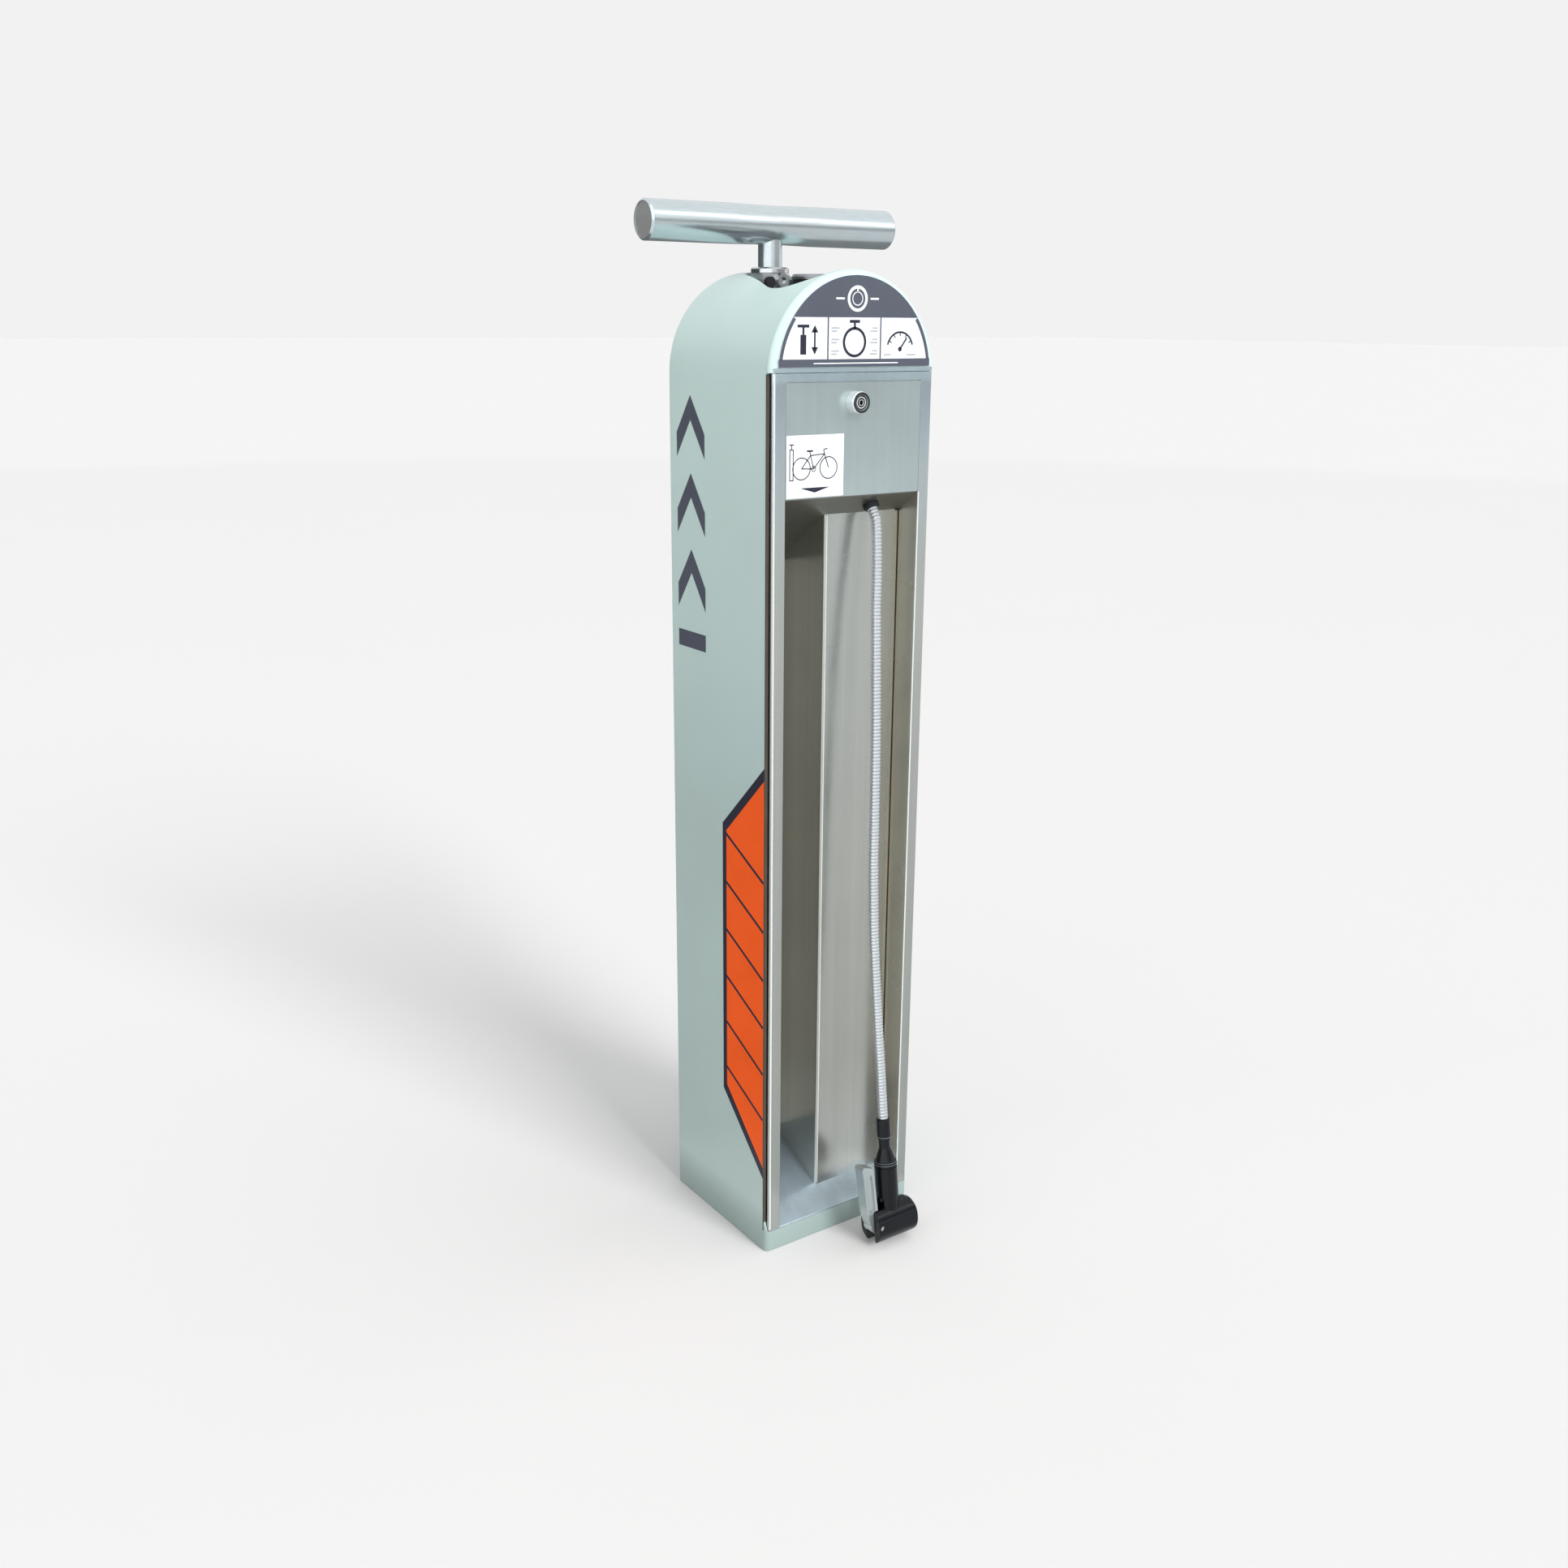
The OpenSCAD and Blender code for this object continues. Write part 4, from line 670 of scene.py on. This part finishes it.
def dial_print():
    """Ticks and numbers, 0 to 12, over the needle's 270 degrees, clockwise from its rest."""
    start, sweep, top = 225, 270, 12
    ticks_end, numbers_at, rim = 19.8, 13.2, 20.1
    ink = []
    for i in range(top * 5 + 1):
        a = start - sweep * i / (top * 5)
        inner, width = (16.4, 0.55) if i % 5 == 0 else (18.2, 0.25)
        ink.append(line(around(inner, a), around(ticks_end, a), width))
    for i in range(0, top + 1, 2):
        ink += number(str(i), around(numbers_at, start - sweep * i / top), 2.6, 0.42)
    ink += ring((0, 0), rim, 0.4)
    flat_print("dial_ink", ink, on_dial, "station", "print_rim", 0.08)


def head_point(x, y, z):
    """From the pump head's own frame, along its axis, to the shared one."""
    sin, cos = math.sin(HEAD_LEAN), math.cos(HEAD_LEAN)
    return HEAD_AT[0] + x, HEAD_AT[1] + y * cos - z * sin, HEAD_AT[2] + y * sin + z * cos


def head_rings():
    """Thin light rings as painted highlights on the grooves: one round the boot, two round the cone's foot.
    """
    sunk, proud = 0.3, 0.14
    bm = bmesh.new()
    for z, r, h in ((-19.6, 7.02, 0.8), (-45.4, 11.25, 0.7), (-47.6, 11.52, 0.7)):
        section = ((z, r - sunk), (z, r + proud), (z + h, r + proud), (z + h, r - sunk))
        loops = [[bm.verts.new(head_point(x, y, zz)) for x, y in disc((0, 0), rr, 48)] for zz, rr in section]
        skin(bm, loops + loops[:1])
    new_piece("head_rings", bm, "door", "head_highlight_grey")


def lock_face():
    """Two fine rings round the key slot in the plug, and a dark one on the housing."""
    to = on_front(PLUG_FACE)
    flat_print("lock_ring", ring(LOCK_AT, 4.6, 0.9, 40), to, "lock", "lock_chrome", 0.35)
    flat_print("lock_pin_ring", ring(LOCK_AT, 2.4, 0.5, 40), to, "lock", "lock_chrome", 0.45)
    flat_print("lock_rim", ring(LOCK_AT, 7.8, 2.2, 40), on_front(LOCK_FACE), "door", "lock_face", 0.12)


def strips():
    """A dark strip before the side wall as painted shade in the gap, a steel hem on the cap, and bright
    strips on the door's folded edges as painted highlights.
    """
    # painted shade in the gap between the side wall and the door
    gap_shade = rect(-90.3, -87.05, 22.5, 846.0)
    flat_print("gap_shade_strip", [gap_shade], on_front(WALL_FRONT), "station", "gap_shade_dark", 1.0, 0.0)
    hem = rect(-86.5, 86.5, 847.3, 850.8)
    flat_print("cap_hem", [hem], on_front(FRONT), "station", "hem_steel", 0.35)
    # painted highlights: bright strips along the two stiles' edges and on the bend into the niche
    stiles = [rect(75.05, 76.5, 24, 740), rect(-86.0, -84.4, 24, 846)]
    flat_print("stile_highlights", stiles, on_front(FRONT), "door", "edge_highlight", 0.15)
    bend = rect(-8.3, -7.2, 38, 720)
    flat_print("bend_highlight", [bend], on_front(NICHE_BACK), "door", "edge_highlight", 0.15)
    corner = rect(71.05, 74.1, 37.5, 720.5)
    flat_print("niche_edge", [corner], on_front(NICHE_BACK + 0.5), "door", "niche_edge", 0.6, 0.4)


make_hose()
sign()
sticker()
side_prints()
head_rings()
dial_print()
lock_face()
strips()


# Stage, in metres
FLOOR_COLOUR = (0.654, 0.647, 0.642)
FLOOR_Z = -0.0003
FLOOR_REACH = 60
CARD_Z = 0.002
CARD_REACH = 9
WALL_REACH = 5


def flat_stage(name, corners, colour, glossy_only=True):
    """A floor or a studio card: a flat shape from its corners."""
    bm = bmesh.new()
    bm.faces.new([bm.verts.new(p) for p in corners])
    me = bpy.data.meshes.new(name)
    bm.to_mesh(me)
    bm.free()
    ob = bpy.data.objects.new(name, me)
    scene.collection.objects.link(ob)
    look = Look(name)
    low, high = shades(colour, 0.998, 1.002)
    soft = look.ramp(look.noise(look.place(), 1.2, 3), [(0.3, low), (0.7, high)])
    look.put(Base_Color=soft, Roughness=0.9, Specular_IOR_Level=0.1)
    me.materials.append(look.mat)
    if glossy_only:
        ob.visible_camera = False
        ob.visible_diffuse = False
        ob.visible_transmission = False
        ob.visible_shadow = False


def sector(a0, a1, near, n=10):
    """A ring sector just above the ground round the object, angles in degrees from +X."""
    turn = [a0 + (a1 - a0) * i / n for i in range(n + 1)]
    inner = [(*around(near, a), CARD_Z) for a in turn]
    outer = [(*around(CARD_REACH, a), CARD_Z) for a in reversed(turn)]
    return inner + outer


def upright(p, q, z0, z1):
    """A standing card over a line on the ground."""
    return [(*p, z0), (*q, z0), (*q, z1), (*p, z1)]


def stage():
    far, z = FLOOR_REACH, FLOOR_Z
    flat_stage("floor", [(-far, -far, z), (far, -far, z), (far, far, z), (-far, far, z)], FLOOR_COLOUR, False)
    # cards that only reflections see: on the ground grey at the front right, and dark at the right and behind
    flat_stage("card_front", sector(262, 345, 0.16), (0.47, 0.47, 0.47))
    flat_stage("card_right", sector(345, 422, 0.3), (0.14, 0.14, 0.14))
    flat_stage("card_back", sector(422, 532, 0.2), (0.08, 0.08, 0.08))
    # standing further out: a grey band at the front right, and dark walls at the left and behind
    flat_stage("card_flag", upright((0.6, -3.2), (3.2, -1.2), 0.62, 1.3), (0.36, 0.36, 0.36))
    for i, a in enumerate(range(68, 172, 26)):
        card = upright(around(WALL_REACH, a), around(WALL_REACH, a + 26), 0.01, 2.0)
        flat_stage("card_left_%d" % i, card, (0.04, 0.04, 0.04))
    flat_stage("card_wall", upright((0.8, 4.2), (4.2, 1.6), 0.2, 2.0), (0.16, 0.17, 0.18))


# Light
BACKDROP = 0.887
SKY = [(0.0, (0.44, 0.44, 0.44)), (0.5, (0.44, 0.445, 0.449)), (0.68, (0.585, 0.595, 0.605)),
       (1.0, (0.72, 0.73, 0.74))]


def world_light():
    """A soft sky lights matt things; the camera, reflections and glass see one pale grey."""
    world = bpy.data.worlds.new("world")
    scene.world = world
    world.use_nodes = True
    world.node_tree.nodes.clear()
    t = Tree(world.node_tree)
    seen = t.add("ShaderNodeBackground")
    seen.inputs["Color"].default_value = (BACKDROP, BACKDROP, BACKDROP, 1)
    soft = t.add("ShaderNodeBackground")
    t.link(t.ramp(t.span(t.up("Generated"), 0.0, 1.0, (-1, 1)), SKY), soft.inputs["Color"])
    rays = t.add("ShaderNodeLightPath")
    sees = rays.outputs["Is Camera Ray"]
    for also in ("Is Glossy Ray", "Is Transmission Ray"):
        either = t.add("ShaderNodeMath", operation="MAXIMUM")
        t.link(sees, either.inputs[0])
        t.link(rays.outputs[also], either.inputs[1])
        sees = either.outputs[0]
    mix = t.add("ShaderNodeMixShader")
    t.link(sees, mix.inputs[0])
    t.link(soft.outputs[0], mix.inputs[1])
    t.link(seen.outputs[0], mix.inputs[2])
    t.link(mix.outputs[0], t.add("ShaderNodeOutputWorld").inputs["Surface"])


def lamp(name, kind, power):
    data = bpy.data.lights.new(name, kind)
    data.energy = power
    ob = bpy.data.objects.new(name, data)
    scene.collection.objects.link(ob)
    return ob


def sun(name, travel, power, width, glossy=True):
    """A wide sun: the way its light travels, and its width in degrees."""
    ob = lamp(name, "SUN", power)
    ob.data.angle = math.radians(width)
    ob.rotation_euler = Vector(travel).to_track_quat("-Z", "Y").to_euler()
    ob.visible_glossy = glossy


def softbox():
    """A panel high at the front right, which only metal shows: the bright band along the handle."""
    toward = Vector((0.54, -0.68, 0.5)).normalized()
    across = (Vector((0, 1, 0)) - toward * toward.y).normalized()
    distance = 2.4
    ob = lamp("softbox", "AREA", 3.6)
    ob.data.shape = "RECTANGLE"
    ob.data.size, ob.data.size_y = 0.5, 1.7
    turn = Matrix((across, toward.cross(across), toward)).transposed().to_4x4()
    turn.translation = Vector((0, PUMP_Y, HANDLE_Z)) * MM + distance * toward
    ob.matrix_world = turn
    ob.visible_diffuse = False
    ob.visible_camera = False


stage()
world_light()
sun("key", (-0.11, 1.0, -0.66), 2.65, 24, glossy=False)
sun("side", (-0.91, 0.65, -1.05), 0.9, 70, glossy=False)
sun("fill", (1.0, 0.45, -0.3), 1.02, 90)
softbox()
